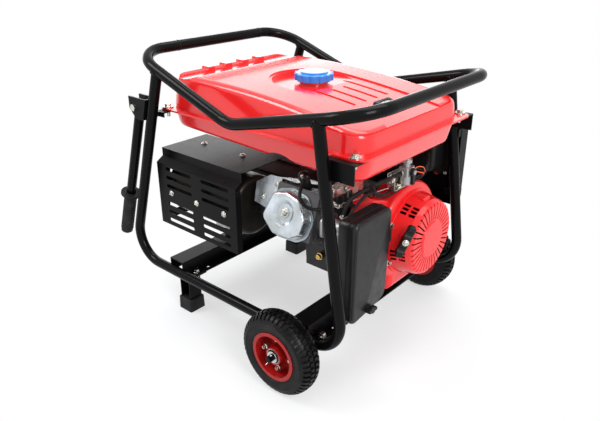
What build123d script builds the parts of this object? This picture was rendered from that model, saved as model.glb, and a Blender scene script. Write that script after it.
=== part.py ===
from build123d import *
from math import asin, cos, degrees, pi, radians, sin, tan
import os

os.makedirs("parts", exist_ok=True)

# Open-frame generator set, millimetres, +Z up.
# Modelled about the middle of the top ring, then moved so that the origin lies on
# the ground under the middle of the whole object.
# +X is the recoil starter end with the wheels, -Y the cylinder head side.

# Fits
running_gap = 0.05
body_gap = 0.4
seat_gap = 0.02
slide_gap = 0.3
sheet = 3.0
panel_sheet = 1.5
through_cut = 40.0

# Frame tubes
tube_d = 25.4
tube_wall = 2.0
frame_half = 250.0
rear_end_x = -329.0
rear_end_z = 673.5
dip_x = -15.5
dip_z = 560.5
front_end_x = 329.0
front_end_z = 640.8
ring_bend_r = 82.0
loop_z = 121.4
loop_rear_x = -417.0
loop_front_x = 300.0
rear_lean = 18.25
front_lean = 8.66
loop_bend_r = 72.0

# Cross channels of hat section
hat_top = 50.0
hat_flange = 27.0
hat_top_z = 150.0
hat_foot_z = 112.0
front_channel_x = 175.0
rear_channel_x = -250.0
channel_hole_d = 9.0
channel_bolt_y = frame_half - 38.0
channel_spare_y = frame_half - 79.0
mount_r = 19.0
mount_waist_r = 16.0

# Legs and feet
leg_x = -237.0
leg_y = frame_half - 36.0
leg_size = 38.0
foot_size = 50.0
foot_h = 36.0
foot_sole = 8.0
foot_corner_r = 5.0
foot_chamfer = 2.0
foot_flare = 2.0
leg_plate_lip = 6.0

# Wheels and axle
wheel_x = 166.5
wheel_r = 98.5
tyre_width = 56.0
tyre_mid_y = frame_half + 47.0
axle_d = 15.0
axle_reach = tyre_mid_y + 41.0
axle_chamfer = 1.5
clamp_y = frame_half - 45.0
clamp_width = 40.0
rim_flange_r = 57.5
rim_seat_r = 51.0
rim_wall = 2.0
bearing_d = 35.0
bearing_w = 11.0
spacer_d = 24.0
hub_wall = 3.0
hub_half = 24.0
disc_y = 6.0
disc_hole_ring = 38.0
disc_hole_d = 9.0
rim_lip_w = 3.0
tyre_bead_inset = 6.0
tyre_bulge = 2.0
shoulder_drop = 6.0
shoulder_inset = 5.0
tread_inset = 15.0
block_root = 6.0
tread_blocks = 30
tread_depth = 5.0
tread_fill = 0.62

# Folding handles
pivot_x = -324.0
pivot_z = 548.0
handle_lean = 19.3
handle_d = 24.0
handle_length = 398.0
handle_stub = 15.0
collar_d = 52.0
collar_at = 262.0
grip_d = 31.0
grip_rib = 1.2
grip_ribs = 14
pivot_bolt_d = 10.0
cheek_sheet = 4.0
cheek_gap = 1.0
cheek_r = 22.0
cheek_rise = 24.0
cheek_drop = 28.0
cheek_corner = 4.0
web_bite = 2.0
pivot_head_r = 9.0
pivot_head_h = 7.0
pivot_nut_h = 8.0
collar_w = 6.0
grip_neck = 4.0
grip_rib_start = 12.0
grip_rib_end = 10.0
grip_end_wall = 6.0
grip_end_chamfer = 4.0

# Fuel tank
tank_flange_z = 542.0
tank_front_x = 305.0
tank_rear_x = -303.0
tank_half_w = frame_half - 32.0
tank_flange_r = 26.0
tank_body_r = 52.0
tank_lip = 16.0
tank_wall = 2.0
tank_draft = 8.0
tank_edge_r = 16.0
crown_x = -175.0
crown_z = 624.0
crown_r = 2540.0
tank_floor_front_z = 478.0
tank_floor_rear_z = 500.0
tank_lower_draft = 14.0
tank_floor_r = 16.0
arch_x = 70.0
arch_r = 74.0
arch_drop = 50.0
arch_depth = 110.0
tank_bolt_inset = 26.0
tank_bolt_y = tank_half_w - 13.0
tank_bolt_d = 8.0
washer_r = 13.0
washer_h = 2.5
tank_bolt_head_r = 7.5
tank_bolt_head_h = 6.0
tank_bolt_reach = 22.0
bracket_tab_half = 8.0
bracket_ear = 20.0
front_skirt = 40.0
rear_skirt = 12.0
cap_x = 8.0
cap_d = 92.0
cap_h = 16.0
cap_lobes = 14
cap_disc_h = 2.5
cap_disc_inset = 14.0
cap_chamfer = 2.0
cap_plug = 18.0
pad_z = 610.0
pad_r = 98.0
recess_half = 105.0
recess_depth = 3.0
neck_d = 66.0
neck_wall = 6.0
neck_h = 8.0
valley_x = -232.0
valley_depth = 8.0
valley_r = 90.0
rib_count = 4
rib_pitch = 58.0
rib_w = 20.0
rib_length = 26.0
rib_rise = 3.5
slot_count = 4
slot_pitch = 41.0
slot_w = 10.0
slot_depth = 3.0
slot_clear_r = 72.0
slot_end_x = 172.0
gauge_x = 208.0
gauge_length = 34.0
gauge_width = 58.0
gauge_h = 7.0
gauge_stem_d = 20.0
gauge_corner_r = 5.0
gauge_chamfer = 2.0
gauge_window = (16.0, 36.0)
gauge_window_r = 3.0
gauge_window_depth = 3.0
tap_x = 262.0
tap_y = 14.0
tap_z = 452.0
tap_pipe_d = 14.0
tap_spindle_d = 10.0
tail_d = 8.0
tail_reach = 30.0
hose_d = 9.0
hose_bend_r = 16.0
hose_lap = 14.0
tap_body = (24.0, 30.0, 20.0)
tap_body_r = 4.0
bowl_r = 14.0
bowl_depth = 22.0
spindle_reach = 22.0
tap_nut_r = 12.0
tap_nut_h = 7.0
tap_lever_at = 14.0
tap_lever_r = 9.0
tap_lever_length = 28.0
tap_lever_thick = 6.0

# Engine
crank_y = 50.0
crank_z = 291.0
cylinder_x = 113.0
cylinder_tilt = 20.0
crankcase_rear_x = 45.0
crankcase_front_x = 190.0
crankcase_r = 88.0
engine_base_z = 176.0
base_thick = 16.0
fin_start = 106.0
fin_end = 186.0
fin_pitch = 9.0
fin_thick = 3.0
fin_half = 62.0
drain_xs = (99.0, 152.0)
drain_rise = 44.0
drain_d = 16.0
drain_out = 14.0
base_wing = 22.0
base_setback = 20.0
case_bulge = (22.0, 10.0)
case_heel = (4.0, 64.0)
case_chamfer = 4.0
case_wall = 12.0
boss_wall = 12.0
seal_r = 58.0
seal_h = 8.0
barrel_wall = 8.0
fin_corner_r = 14.0
fin_trim = 8.0
head_inset = 4.0
head_fins = 4
head_fin_pitch = 15.0
head_fin_gap = 8.0
head_fin_depth = 26.0
port_flange_r = 24.0
port_flange_w = 12.0
head_end = 257.0
cover_end = 285.0
bore_r = 46.0
shaft_d = 36.0
port_v = -8.0
port_w = 222.0
filler_d = 24.0
filler_seat = (168.0, -98.0, 262.0)
filler_rise = 26.0
filler_depth = 60.0
filler_wall = 4.0
filler_bore_depth = 30.0
oil_cap_r = 15.0
oil_cap_h = 12.0
oil_cap_notches = 12
oil_cap_notch_r = 2.4
oil_stem = 24.0
cover_points = ((-64, -26), (-46, 32), (-10, 41), (28, 32), (50, -8), (44, -40), (24, -52), (-26, -54))
cover_corner_r = 15.0
cover_flange = 9.0
cover_flange_h = 3.0
cover_flare = 5.0
cover_edge_r = 7.0
cover_wall = 3.0
dish_place = (-6.0, -4.0)
dish_r = 29.0
dish_floor_r = 20.0
dish_depth = 7.0
cover_bolt_r = 7.5
plug_boot_d = 22.0
plug_knee_r = 13.0
plug_tail_d = 16.0
plug_depth = 22.0
plug_inset = 8.0
plug_across = 6.0
lead_bend_r = 12.0
shield_points = ((-124, -8), (-130, 36), (-94, 60))
shield_setback = 10.0
shield_fold = 54.0
shield_fold_reach = 120.0
lead_d = 7.5
lead_end_x = 207.0
lead_end_rise = 42.0

# Blower, flywheel and recoil starter
blower_rear_x = 202.0
blower_front_x = 262.0
blower_r = 120.0
blower_wall = 2.5
blower_mouth_r = 90.0
duct_reach = 176.0
duct_front_x = 246.0
duct_round = 10.0
duct_top = 68.0
duct_low = -62.0
blower_round = 14.0
blower_tail_trim = 44.0
blower_tail_drop = 8.0
duct_heel = 38.0
recoil_front_x = 320.0
recoil_flange_r = 103.0
recoil_wall = 2.5
recoil_slots = 36
recoil_slot_w = 3.4
recoil_slot_span = (46.0, 85.0)
recoil_lip = 4.0
recoil_hub_rise = 3.0
recoil_hub_r = 42.0
vent_groups = (38.0, 74.0, 118.0, 186.0, 232.0, 300.0)
vent_count = 3
vent_step = 6.4
vent_size = (30.0, 7.0, 15.0)
vent_rows = (277.0, 297.0)
eyelet_d = 20.0
throat_d = 7.0
hump_angle = 92.0
hump_size = (16.0, 26.0, 36.0)
hump_r = 5.0
flywheel_r = 96.0
flywheel_rim = 16.0
flywheel_face = 22.0
flywheel_bevel = 14.0
flywheel_hub_r = 40.0
flywheel_hub = 34.0
blade_count = 16
blade_size = (40.0, 3.0, 26.0)
blade_sweep = 24.0
blade_inset = 26.0
pulley_r = 68.0
pulley_post_d = 16.0
pulley_post = 40.0
pulley_inset = 10.0
pulley_width = 26.0
pulley_groove = 10.0
pulley_cheek = 3.0
pulley_boss_r = 26.0
pull_angle = 40.0
grip_centre = (306.0, -47.0, 320.0)
grip_slant = 0.38
pull_grip_length = 78.0
pull_grip_w = 18.0
pull_grip_r = 6.0
pull_grip_edge = 3.0
finger_r = 9.0
finger_lift = 5.0
pull_stem_r = 8.0
pull_grip_h = 15.0
pull_stem = 4.0
eyelet_root = 24.0

# Air box
air_rear_x = 250.0
air_seam_x = 271.0
air_front_x = 296.0
air_left_y = -228.0
air_right_y = -86.0
air_low_z = 176.0
air_low_right = 18.0
air_high_z = 411.0
air_top_in = 12.0
air_foot_in = 8.0
air_wall = 2.5
air_corner_r = 16.0
air_rear_r = 6.0
air_front_r = 9.0
air_rim = 1.5
air_rim_w = 5.0
facet_crease = ((-92.0, 400.0), (-178.0, 180.0))
facet_corner = (-86.0, 196.0)
facet_sink = 9.0
snout_d = 40.0
snout_bore = 34.0
filter_inset = 10.5
filter_foot = 36.0
filter_pitch = 10.0
filter_fold = 0.4
filter_seat = 4.0
knob_y = -156.0
knob_rise = 18.0
knob_stem_d = 6.0
knob_stem = 12.0
knob_wings = (30.0, 9.0)
knob_hub_r = 8.0
knob_h = 12.0
knob_edge_r = 3.0
carb_front_x = 240.0
inlet_x = 224.0
inlet_rise = 36.0
choke_x = 210.0
choke_reach = 34.0
choke_pin_d = 7.0
choke_hub_r = 8.0
choke_arm = (9.0, 32.0)
choke_sheet = 2.5
choke_tab = (12.0, 14.0, 3.0)
carb_barrel_d = 38.0
carb_throat_d = 26.0
carb_flange = (54.0, 46.0)
carb_flange_r = 10.0
carb_flange_w = 6.0
float_neck_r = 16.0
float_neck = 30.0
float_bowl_r = 22.0
float_bowl_h = 30.0
float_bowl_top = 34.0
float_bowl_edge = 6.0
bowl_drain_r = 6.0
bowl_drain_h = 7.0
governor_x = 184.0
governor_y = -92.0
governor_z = 428.0
governor_hub_r = 9.0
governor_arm_size = (10.0, 64.0)
governor_sheet = 3.0
governor_post_d = 8.0
governor_post_z = (400.0, 443.0)
governor_pin_d = 4.0
governor_pin_at = 58.0
governor_pin_h = 11.0
plate_points = ((-168, 428), (-168, 444), (-62, 446), (-62, 396), (-92, 396), (-104, 428))
plate_corner_r = 3.0
shelf_span = (-160.0, -70.0)
shelf_z = 442.0
shelf_depth = 22.0

# Exhaust
muffler_y = -146.0
muffler_z = 333.0
muffler_r = 74.0
muffler_wall = 2.5
muffler_round = 10.0
muffler_rear_x = -292.0
muffler_front_x = -44.0
guard_rear_x = -308.0
guard_front_x = -25.0
guard_top_z = 438.0
guard_low_z = 241.0
guard_band_y = -212.0
guard_face_y = -232.0
guard_back_y = -66.0
guard_step_z = 417.0
guard_face_z = 405.0
guard_top_screws = (-249.0, -110.0)
guard_top_screw_y = -124.0
guard_face_screws = (-258.0, -163.0, -67.0)
guard_boss_d = 18.0
guard_columns = (-227.0, -96.0)
guard_slot_rows = 3
guard_slot_first = 24.0
guard_slot_mid_z = 326.0
guard_slot_pitch = 22.5
guard_slot_w = 9.0
guard_slot_length = 95.0
guard_return = 14.0
guard_side_return = 16.0
guard_window_inset = 16.0
guard_window_top = (22.0, 46.0)
guard_window_foot = (26.0, 22.0)
guard_window_r = 12.0
exhaust_d = 32.0
exhaust_bend_r = 14.0
exhaust_out = 34.0
exhaust_in = 26.0
exhaust_bite = 6.0
exhaust_shift = 4.0

# Alternator
stator_r = 106.0
rib_h = 5.0
stator_front_x = 30.0
stator_rear_x = -250.0
bell_rear_x = -300.0
rotor_r = 70.0
rotor_rear_x = -185.0
rotor_front_x = -50.0
alternator_foot = 96.0
air_gap = 3.0
stator_ribs = 16
stator_rib_w = 5.0
stator_rib_length = 190.0
stator_rib_shift = 30.0
stator_vent = (76.0, 16.0, 18.0)
stator_vent_at = 34.0
stator_nose = 24.0
spigot_drop = 14.0
spigot_bore_r = 60.0
bell_bearing_r = 12.0
bell_seat_r = 30.0
bell_seat_depth = 24.0
bell_wall = 8.0
bell_windows = 10
bell_window = (38.0, 16.0, 30.0)
bell_window_r = 58.0
bell_foot_h = 12.0
bell_foot_trim = 16.0
rotor_neck_r = 16.0

# Control panel on the far side
panel_y = frame_half + 15.0
panel_depth = 34.0
panel_rear_x = -60.0
panel_front_x = 262.0
panel_low_z = 284.0
panel_high_z = 505.0
strap_zs = (325.0, 480.0)
strap_half = 10.0
strap_lap = 8.0
strap_reach = 24.0
rail_h = 24.0
panel_corner_r = 8.0
tub_front_x = 226.0
tub_rear_x = -20.0
tub_low_z = 372.0
tub_depth = 58.0
tub_rim = 10.0
tub_top_gap = 8.0
tub_corner_r = 26.0
tub_draft = 5.0
tub_edge_r = 12.0
tub_inner_edge_r = 10.0
tub_wall = 3.0
tub_floor = 4.0
tub_rim_r = 8.0
socket_xs = (20.0, 100.0)
socket_z = 350.0
socket_d = 54.0
socket_rim = 10.0
socket_rim_h = 4.0
socket_body = 26.0
socket_recess = 14.0
socket_recess_in = 12.0
pin_d = 5.0
pin_half = 9.5
switch_x = 190.0
switch_z = 430.0
switch_d = 16.0
switch_disc_d = 30.0
switch_disc_h = 7.0
switch_bar = (8.0, 14.0, 28.0)
switch_bar_r = 3.5
switch_stem = 8.0
breaker_x = 190.0
breaker_z = 350.0
breaker_d = 12.0
breaker_in = 10.0
breaker_out = 9.0
breaker_chamfer = 1.5
meter_x = 60.0
meter_z = 440.0
meter_d = 60.0
meter_body = 24.0
meter_rim = 8.0
meter_rim_h = 5.0
meter_dial_in = 4.0
meter_dial_at = 2.0

quarter_turn = 90.0
crank_origin = Vector(0, crank_y, crank_z)
crank_axis = Axis((0, crank_y, crank_z), (1, 0, 0))
crank = Plane(origin=(0, crank_y, crank_z), x_dir=(0, 1, 0), z_dir=(1, 0, 0))
cylinder_up = (0, sin(radians(cylinder_tilt)), cos(radians(cylinder_tilt)))
cylinder_out = (0, -cos(radians(cylinder_tilt)), sin(radians(cylinder_tilt)))
bore = Plane(origin=(cylinder_x, crank_y, crank_z), x_dir=(1, 0, 0), z_dir=cylinder_out)

# Places worked out from the sizes above
mount_ys = (crank_y - alternator_foot, crank_y + alternator_foot)
filler_dir = Vector(0.0, -cos(radians(filler_rise)), sin(radians(filler_rise)))
filler_root = Vector(*filler_seat) - filler_dir * filler_depth
pull_dir = Vector(sin(radians(pull_angle)), -cos(radians(pull_angle)), 0)
intake_port = bore.from_local_coords(Vector(fin_half + fin_trim, port_v, port_w))
carb_rear_x = intake_port.X
carb_y = intake_port.Y
carb_z = intake_port.Z
choke_y = carb_y - choke_reach
knob_z = air_low_z + knob_rise
plate_x = blower_rear_x - panel_sheet
plug_seat = bore.from_local_coords(Vector(plug_across, fin_half - plug_inset, head_end - plug_depth))
plug_lift = Vector(*cylinder_up) * 0.75 + Vector(*cylinder_out) * 0.66
plug_out = Vector(0.75, -0.66, 0.05)
plug_knee = plug_seat + plug_lift * 34
plug_tail = plug_knee + plug_out * 26
lead_end = crank_origin + Vector(lead_end_x, 0, 0) + Vector(*cylinder_out) * duct_reach
lead_end += Vector(*cylinder_up) * lead_end_rise

# Routes of the fuel hose and of the spark plug lead
hose_route = [
    (tap_x, tap_y - 16, tap_z),
    (tap_x, tap_y - 62, tap_z),
    (240.0, -96.0, 440.0),
    (inlet_x, carb_y, 424.0),
    (inlet_x, carb_y, carb_z + inlet_rise - hose_lap),
]
lead_route = [
    tuple(plug_knee + plug_out * 20),
    (148.0, -222.0, 440.0),
    (168.0, -216.0, 410.0),
    (190.0, -180.0, 402.0),
    tuple(lead_end + Vector(*cylinder_out) * 34),
    tuple(lead_end),
]


def section_yz(x):
    return Plane(origin=(x, 0, 0), x_dir=(0, 1, 0), z_dir=(1, 0, 0))


def section_xz(y):
    return Plane(origin=(0, y, 0), x_dir=(1, 0, 0), z_dir=(0, -1, 0))


def rod(start, end, diameter):
    start = Vector(*start)
    reach = Vector(*end) - start
    return Solid.make_cylinder(diameter / 2, reach.length, Plane(origin=start, z_dir=reach))


def swept(path, diameter):
    start = Plane(origin=path @ 0, z_dir=path % 0)
    return sweep(start * Circle(diameter / 2), path=path)


def outline(points, radius=0):
    face = make_face(Polyline(*points, close=True))
    if radius:
        face = fillet(face.vertices(), radius)
    return face


def box_outline(low_x, high_x, low_y, high_y):
    return Pos((low_x + high_x) / 2, (low_y + high_y) / 2) * Rectangle(high_x - low_x, high_y - low_y)


def box_between(low, high):
    size = Vector(*high) - Vector(*low)
    centre = (Vector(*high) + Vector(*low)) * 0.5
    return Pos(*centre) * Box(*size)


def group(shapes):
    return Compound(children=list(shapes))


def both_sides(shape):
    return group([shape, mirror(shape, about=Plane.XZ)])


def upright(radius, height):
    # A cylinder standing on its base.
    return Cylinder(radius, height, align=(Align.CENTER, Align.CENTER, Align.MIN))


# Frame

def ring_path():
    side = [(rear_end_x, rear_end_z), (dip_x, dip_z), (front_end_x, front_end_z)]
    near = [(x, -frame_half, z) for x, z in side]
    far = [(x, frame_half, z) for x, z in reversed(side)]
    return FilletPolyline(*near, *far, radius=ring_bend_r, close=True)


def post_top(foot_x, lean, end_x, end_z):
    # Where a leaning post meets the centreline of the ring's long side.
    slope = (dip_z - end_z) / (dip_x - end_x)
    run = tan(radians(lean))
    z = (end_z + (foot_x - loop_z * run - end_x) * slope) / (1 - run * slope)
    return foot_x + (z - loop_z) * run, z


def loop_path():
    rear = post_top(loop_rear_x, rear_lean, rear_end_x, rear_end_z)
    front = post_top(loop_front_x, -front_lean, front_end_x, front_end_z)
    corners = [rear, (loop_rear_x, loop_z), (loop_front_x, loop_z), front]
    return FilletPolyline(*[(x, -frame_half, z) for x, z in corners], radius=loop_bend_r)


def rear_post_x(z):
    return loop_rear_x + (z - loop_z) * tan(radians(rear_lean))


def front_post_x(z):
    return loop_front_x - (z - loop_z) * tan(radians(front_lean))


ring_line = ring_path()
loop_line = loop_path()
ring_bar = swept(ring_line, tube_d)
loop_bar = swept(loop_line, tube_d)
tube_bore = tube_d - 2 * tube_wall


def make_ring():
    return ring_bar - swept(ring_line, tube_bore)


def make_loop():
    return loop_bar - swept(loop_line, tube_bore) - ring_bar


def flange_hole(x, y):
    return Pos(x, y, hat_foot_z) * Cylinder(channel_hole_d / 2, 4 * sheet)


def hat_channel(centre_x, mount_ys):
    half = hat_top / 2
    right = [
        (half, hat_top_z),
        (half, hat_foot_z + sheet),
        (half + hat_flange, hat_foot_z + sheet),
        (half + hat_flange, hat_foot_z),
        (half - sheet, hat_foot_z),
        (half - sheet, hat_top_z - sheet),
    ]
    left = [(-x, z) for x, z in reversed(right)]
    end_y = frame_half - tube_d / 4
    profile = section_xz(end_y) * Pos(centre_x, 0) * outline(right + left)
    channel = extrude(profile, 2 * end_y)
    flange_mid = half + hat_flange / 2
    holes = [
        flange_hole(centre_x + side * flange_mid, y)
        for side in (-1, 1)
        for y in (-channel_bolt_y, -channel_spare_y, channel_spare_y, channel_bolt_y)
    ]
    holes += [Pos(centre_x, y, hat_top_z) * Cylinder(channel_hole_d / 2, 4 * sheet) for y in mount_ys]
    channel = channel - holes
    return channel - loop_bar - mirror(loop_bar, about=Plane.XZ)


def make_mounts():
    # Rubber bobbins between the channels and the feet of engine and alternator.
    height = engine_base_z - hat_top_z
    profile = outline([
        (0, 0), (mount_r, 0), (mount_r, height / 4), (mount_waist_r, height / 2),
        (mount_r, 3 * height / 4), (mount_r, height), (0, height),
    ])
    bobbin = revolve(Plane.XZ * profile, axis=Axis.Z)
    places = [(x, y) for x in (front_channel_x, rear_channel_x) for y in mount_ys]
    return group([Pos(x, y, hat_top_z) * bobbin for x, y in places])


def make_leg():
    # Pressed channel with a bolted top flange, open towards the outside.
    half = leg_size / 2
    channel = [
        (-half, -half), (-half, half), (half, half), (half, -half),
        (half - sheet, -half), (half - sheet, half - sheet),
        (-half + sheet, half - sheet), (-half + sheet, -half),
    ]
    top_z = hat_foot_z - sheet
    leg = Pos(leg_x, -leg_y, foot_sole) * extrude(outline(channel), top_z - foot_sole)
    bolt_x = rear_channel_x + hat_top / 2 + hat_flange / 2
    plate_half = half + leg_plate_lip
    plate = box_between(
        (leg_x - half, -leg_y - half, top_z),
        (bolt_x + hat_flange / 2, -leg_y + plate_half, hat_foot_z),
    )
    return leg + plate - flange_hole(bolt_x, -channel_bolt_y)


def make_foot():
    # Rubber shoe moulded round the leg's end, slightly wider at the ground.
    sole = Pos(leg_x, -leg_y) * RectangleRounded(foot_size, foot_size, foot_corner_r)
    shoe = extrude(sole, foot_h, taper=foot_flare)
    pocket = Pos(leg_x, -leg_y, foot_sole) * extrude(Rectangle(leg_size, leg_size), foot_h)
    island = Pos(leg_x, -leg_y - sheet / 2, foot_sole) * extrude(
        Rectangle(leg_size - 2 * sheet, leg_size - sheet), foot_h - foot_sole
    )
    return chamfer(shoe.edges().group_by(Axis.Z)[-1], foot_chamfer) - pocket + island


def make_axle():
    # Bar with two saddle plates welded on, bolted under the channel's flanges.
    bar = rod((wheel_x, -axle_reach, wheel_r), (wheel_x, axle_reach, wheel_r), axle_d)
    bar = chamfer(bar.edges().filter_by(GeomType.CIRCLE), axle_chamfer)
    reach = hat_top / 2 + hat_flange
    low_z = hat_foot_z - sheet
    saddle = axle_d / 2 + sheet
    side = box_outline(front_channel_x - reach, front_channel_x + reach, low_z, hat_foot_z)
    side += Pos(wheel_x, wheel_r) * Circle(saddle)
    side += box_outline(wheel_x - saddle, wheel_x + saddle, wheel_r, low_z)
    plate = extrude(section_xz(-clamp_y + clamp_width / 2) * side, clamp_width)
    flange_mid = hat_top / 2 + hat_flange / 2
    plate -= [flange_hole(front_channel_x + end * flange_mid, -channel_bolt_y) for end in (-1, 1)]
    return bar + plate + mirror(plate, about=Plane.XZ)


# Wheels

wheel_axis = Axis((wheel_x, 0, wheel_r), (0, 1, 0))


def wheel_plane(side):
    # Local x is the radius and local y the way out from the object.
    return Plane(origin=(wheel_x, side * tyre_mid_y, wheel_r), x_dir=(0, 0, 1), z_dir=(side, 0, 0))


def wheel_revolve(side, profile):
    return revolve(wheel_plane(side) * profile, axis=wheel_axis)


def make_tyre(side):
    half = tyre_width / 2
    crown = wheel_r - tread_depth
    bead = half - tyre_bead_inset
    waist = (rim_flange_r + wheel_r) / 2
    outer = [
        (rim_seat_r, bead), (rim_flange_r + tyre_bulge, half - tyre_bulge), (waist, half),
        (crown - shoulder_drop, half - shoulder_inset), (crown, half - tread_inset),
    ]
    inner = [(radius, -out) for radius, out in outer]
    tyre = wheel_revolve(side, outline(inner + list(reversed(outer))))
    block_long = 2 * pi * wheel_r / tread_blocks * tread_fill
    block_face = (wheel_r**2 - block_long**2 / 4) ** 0.5
    block_deep = tread_depth + block_root
    step = 360 / tread_blocks
    blocks = []
    for row, turn in ((-1, 0), (1, step / 2)):
        block = Pos(0, row * half / 3, 0) * Box(block_deep, half / 2 + tyre_bulge, block_long)
        for count in range(tread_blocks):
            place = Pos(wheel_x, side * tyre_mid_y, wheel_r) * Rot(0, turn + count * step, 0)
            blocks.append(place * Pos(block_face - block_deep / 2, 0, 0) * block)
    return tyre + blocks


def make_rim(side):
    # Two pressed dishes as one wheel centre, with a tube hub for the bearings.
    wall = rim_wall
    half = tyre_width / 2 - tyre_bead_inset + rim_lip_w
    lip = rim_flange_r
    seat = rim_seat_r
    bore_in = bearing_d / 2 + seat_gap
    hub = bearing_d / 2 + hub_wall
    rim = outline([
        (lip, half), (lip, half + wall), (seat - wall, half + wall), (seat - wall, disc_y + wall),
        (hub, disc_y + wall), (hub, hub_half), (bore_in, hub_half), (bore_in, -hub_half),
        (hub, -hub_half), (hub, disc_y), (seat - wall, disc_y), (seat - wall, -half - wall),
        (lip, -half - wall), (lip, -half), (seat, -half), (seat, half),
    ])
    wheel = wheel_revolve(side, rim)
    hole = Cylinder(disc_hole_d / 2, 8 * wall, rotation=(quarter_turn, 0, 0))
    centre = Pos(wheel_x, side * (tyre_mid_y + disc_y), wheel_r)
    turns = [quarter_turn * count for count in range(4)]
    return wheel - [centre * Rot(0, turn, 0) * Pos(disc_hole_ring, 0, 0) * hole for turn in turns]


def make_bearings(side):
    # Two ball bearings and the sleeve between them, taken as one turned piece.
    inner = axle_d / 2 + running_gap
    outer = bearing_d / 2
    spacer = spacer_d / 2
    race = hub_half - bearing_w
    return wheel_revolve(side, outline([
        (inner, -hub_half), (outer, -hub_half), (outer, -race), (spacer, -race),
        (spacer, race), (outer, race), (outer, hub_half), (inner, hub_half),
    ]))


# Folding handles

handle_dir = Vector(-sin(radians(handle_lean)), 0, -cos(radians(handle_lean)))


def handle_point(along, y=-frame_half):
    return Vector(pivot_x, y, pivot_z) + handle_dir * along


def handle_plane(along):
    return Plane(origin=handle_point(along), x_dir=(0, 1, 0), z_dir=handle_dir)


def make_handle_bracket():
    # Two cheeks and a web in one bent plate, welded to the leaning post.
    inner = handle_d / 2 + cheek_gap
    post_x = rear_post_x(pivot_z) - tube_d / 2
    lean = tan(radians(rear_lean))
    high_z = pivot_z + cheek_rise
    low_z = pivot_z - cheek_drop
    high_x = post_x + cheek_rise * lean
    low_x = post_x - cheek_drop * lean
    cheek = outline([
        (pivot_x - cheek_r, high_z), (high_x, high_z), (low_x, low_z), (pivot_x, low_z),
        (pivot_x - cheek_r, pivot_z - cheek_corner),
    ])
    cheek -= Pos(pivot_x, pivot_z) * Circle(pivot_bolt_d / 2)
    near = extrude(section_xz(-frame_half - inner) * cheek, cheek_sheet)
    far = extrude(section_xz(-frame_half + inner + cheek_sheet) * cheek, cheek_sheet)
    web = outline([
        (high_x - cheek_sheet, high_z), (high_x + web_bite, high_z),
        (low_x + web_bite, low_z), (low_x - cheek_sheet, low_z),
    ])
    back = extrude(section_xz(-frame_half + inner + cheek_sheet) * web, 2 * (inner + cheek_sheet))
    return near + far + back - loop_bar


def make_handle_bolt():
    reach = handle_d / 2 + cheek_gap + cheek_sheet
    bolt = rod((pivot_x, -frame_half - reach, pivot_z), (pivot_x, -frame_half + reach, pivot_z), pivot_bolt_d)
    hexagon = Pos(pivot_x, pivot_z) * RegularPolygon(pivot_head_r, 6)
    head = extrude(section_xz(-frame_half - reach) * hexagon, pivot_head_h)
    nut = extrude(section_xz(-frame_half + reach + pivot_nut_h) * hexagon, pivot_nut_h)
    return bolt + head + nut


def make_handle():
    tube = handle_plane(-handle_stub) * extrude(
        Circle(handle_d / 2), handle_stub + handle_length - grip_end_wall
    )
    hole = Pos(pivot_x, -frame_half, pivot_z) * Cylinder(
        pivot_bolt_d / 2 + running_gap, 3 * handle_d, rotation=(quarter_turn, 0, 0)
    )
    core = handle_plane(cheek_r) * extrude(Circle(handle_d / 2 - tube_wall), handle_length)
    return tube - core - hole


def make_grip():
    # Rubber sleeve with a hand stop, finger ribs and a closed end.
    radius = grip_d / 2
    collar_end = collar_at + collar_w
    ribs_start = collar_at + grip_rib_start
    pitch = (handle_length - grip_rib_end - ribs_start) / grip_ribs
    points = [
        (handle_d / 2, collar_at), (collar_d / 2, collar_at), (collar_d / 2, collar_end),
        (radius, collar_end + grip_neck),
    ]
    for rib in range(grip_ribs):
        start = ribs_start + rib * pitch
        points += [
            (radius, start), (radius + grip_rib, start + pitch / 4),
            (radius + grip_rib, start + pitch / 2), (radius, start + 3 * pitch / 4),
        ]
    points += [
        (radius, handle_length - grip_end_chamfer), (radius - grip_end_chamfer, handle_length),
        (0, handle_length), (0, handle_length - grip_end_wall), (handle_d / 2, handle_length - grip_end_wall),
    ]
    turned = revolve(Plane.XZ * outline(points), axis=Axis.Z)
    return handle_plane(0) * turned


# Fuel tank

def tank_outline(inset, radius):
    length = tank_front_x - tank_rear_x - 2 * inset
    width = 2 * (tank_half_w - inset)
    middle = (tank_front_x + tank_rear_x) / 2
    return Pos(middle, 0) * RectangleRounded(length, width, radius)


def crown(drop):
    # Very large barrel lying across the tank: its top is the tank's crowned surface.
    return Pos(crown_x, 0, crown_z - crown_r) * Cylinder(
        crown_r - drop, 4 * tank_half_w, rotation=(quarter_turn, 0, 0)
    )


def crown_at(x, drop):
    return crown_z - crown_r + ((crown_r - drop) ** 2 - (x - crown_x) ** 2) ** 0.5


def tank_dome(skin):
    # Drafted wall closed by the crown, the edge between them rolled over.
    height = 2 * (crown_z - tank_flange_z)
    wall = Pos(0, 0, tank_flange_z) * extrude(
        tank_outline(tank_lip + skin, tank_body_r - skin), height, taper=tank_draft
    )
    dome = wall & crown(skin)
    top = dome.faces().sort_by(Axis.Z)[-1]
    return fillet(top.edges(), tank_edge_r - skin)


def tank_recesses(skin):
    # Level pad round the filler, a shallow field beside it and the cross groove at the rear.
    high = crown_z + through_cut
    pad = Pos(cap_x, 0, pad_z - skin) * extrude(Circle(pad_r + skin), high - pad_z)
    length = tank_front_x - cap_x
    field = Pos(cap_x, 0) * Circle(recess_half + skin)
    field += Pos(cap_x + length / 2, 0) * Rectangle(length, 2 * (recess_half + skin))
    field = Pos(0, 0, tank_flange_z) * extrude(field, high - tank_flange_z) - crown(recess_depth + skin)
    groove = Pos(valley_x, 0, crown_z - valley_depth + valley_r) * Cylinder(
        valley_r + skin, 4 * tank_half_w, rotation=(quarter_turn, 0, 0)
    )
    return [pad, field, groove]


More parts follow.
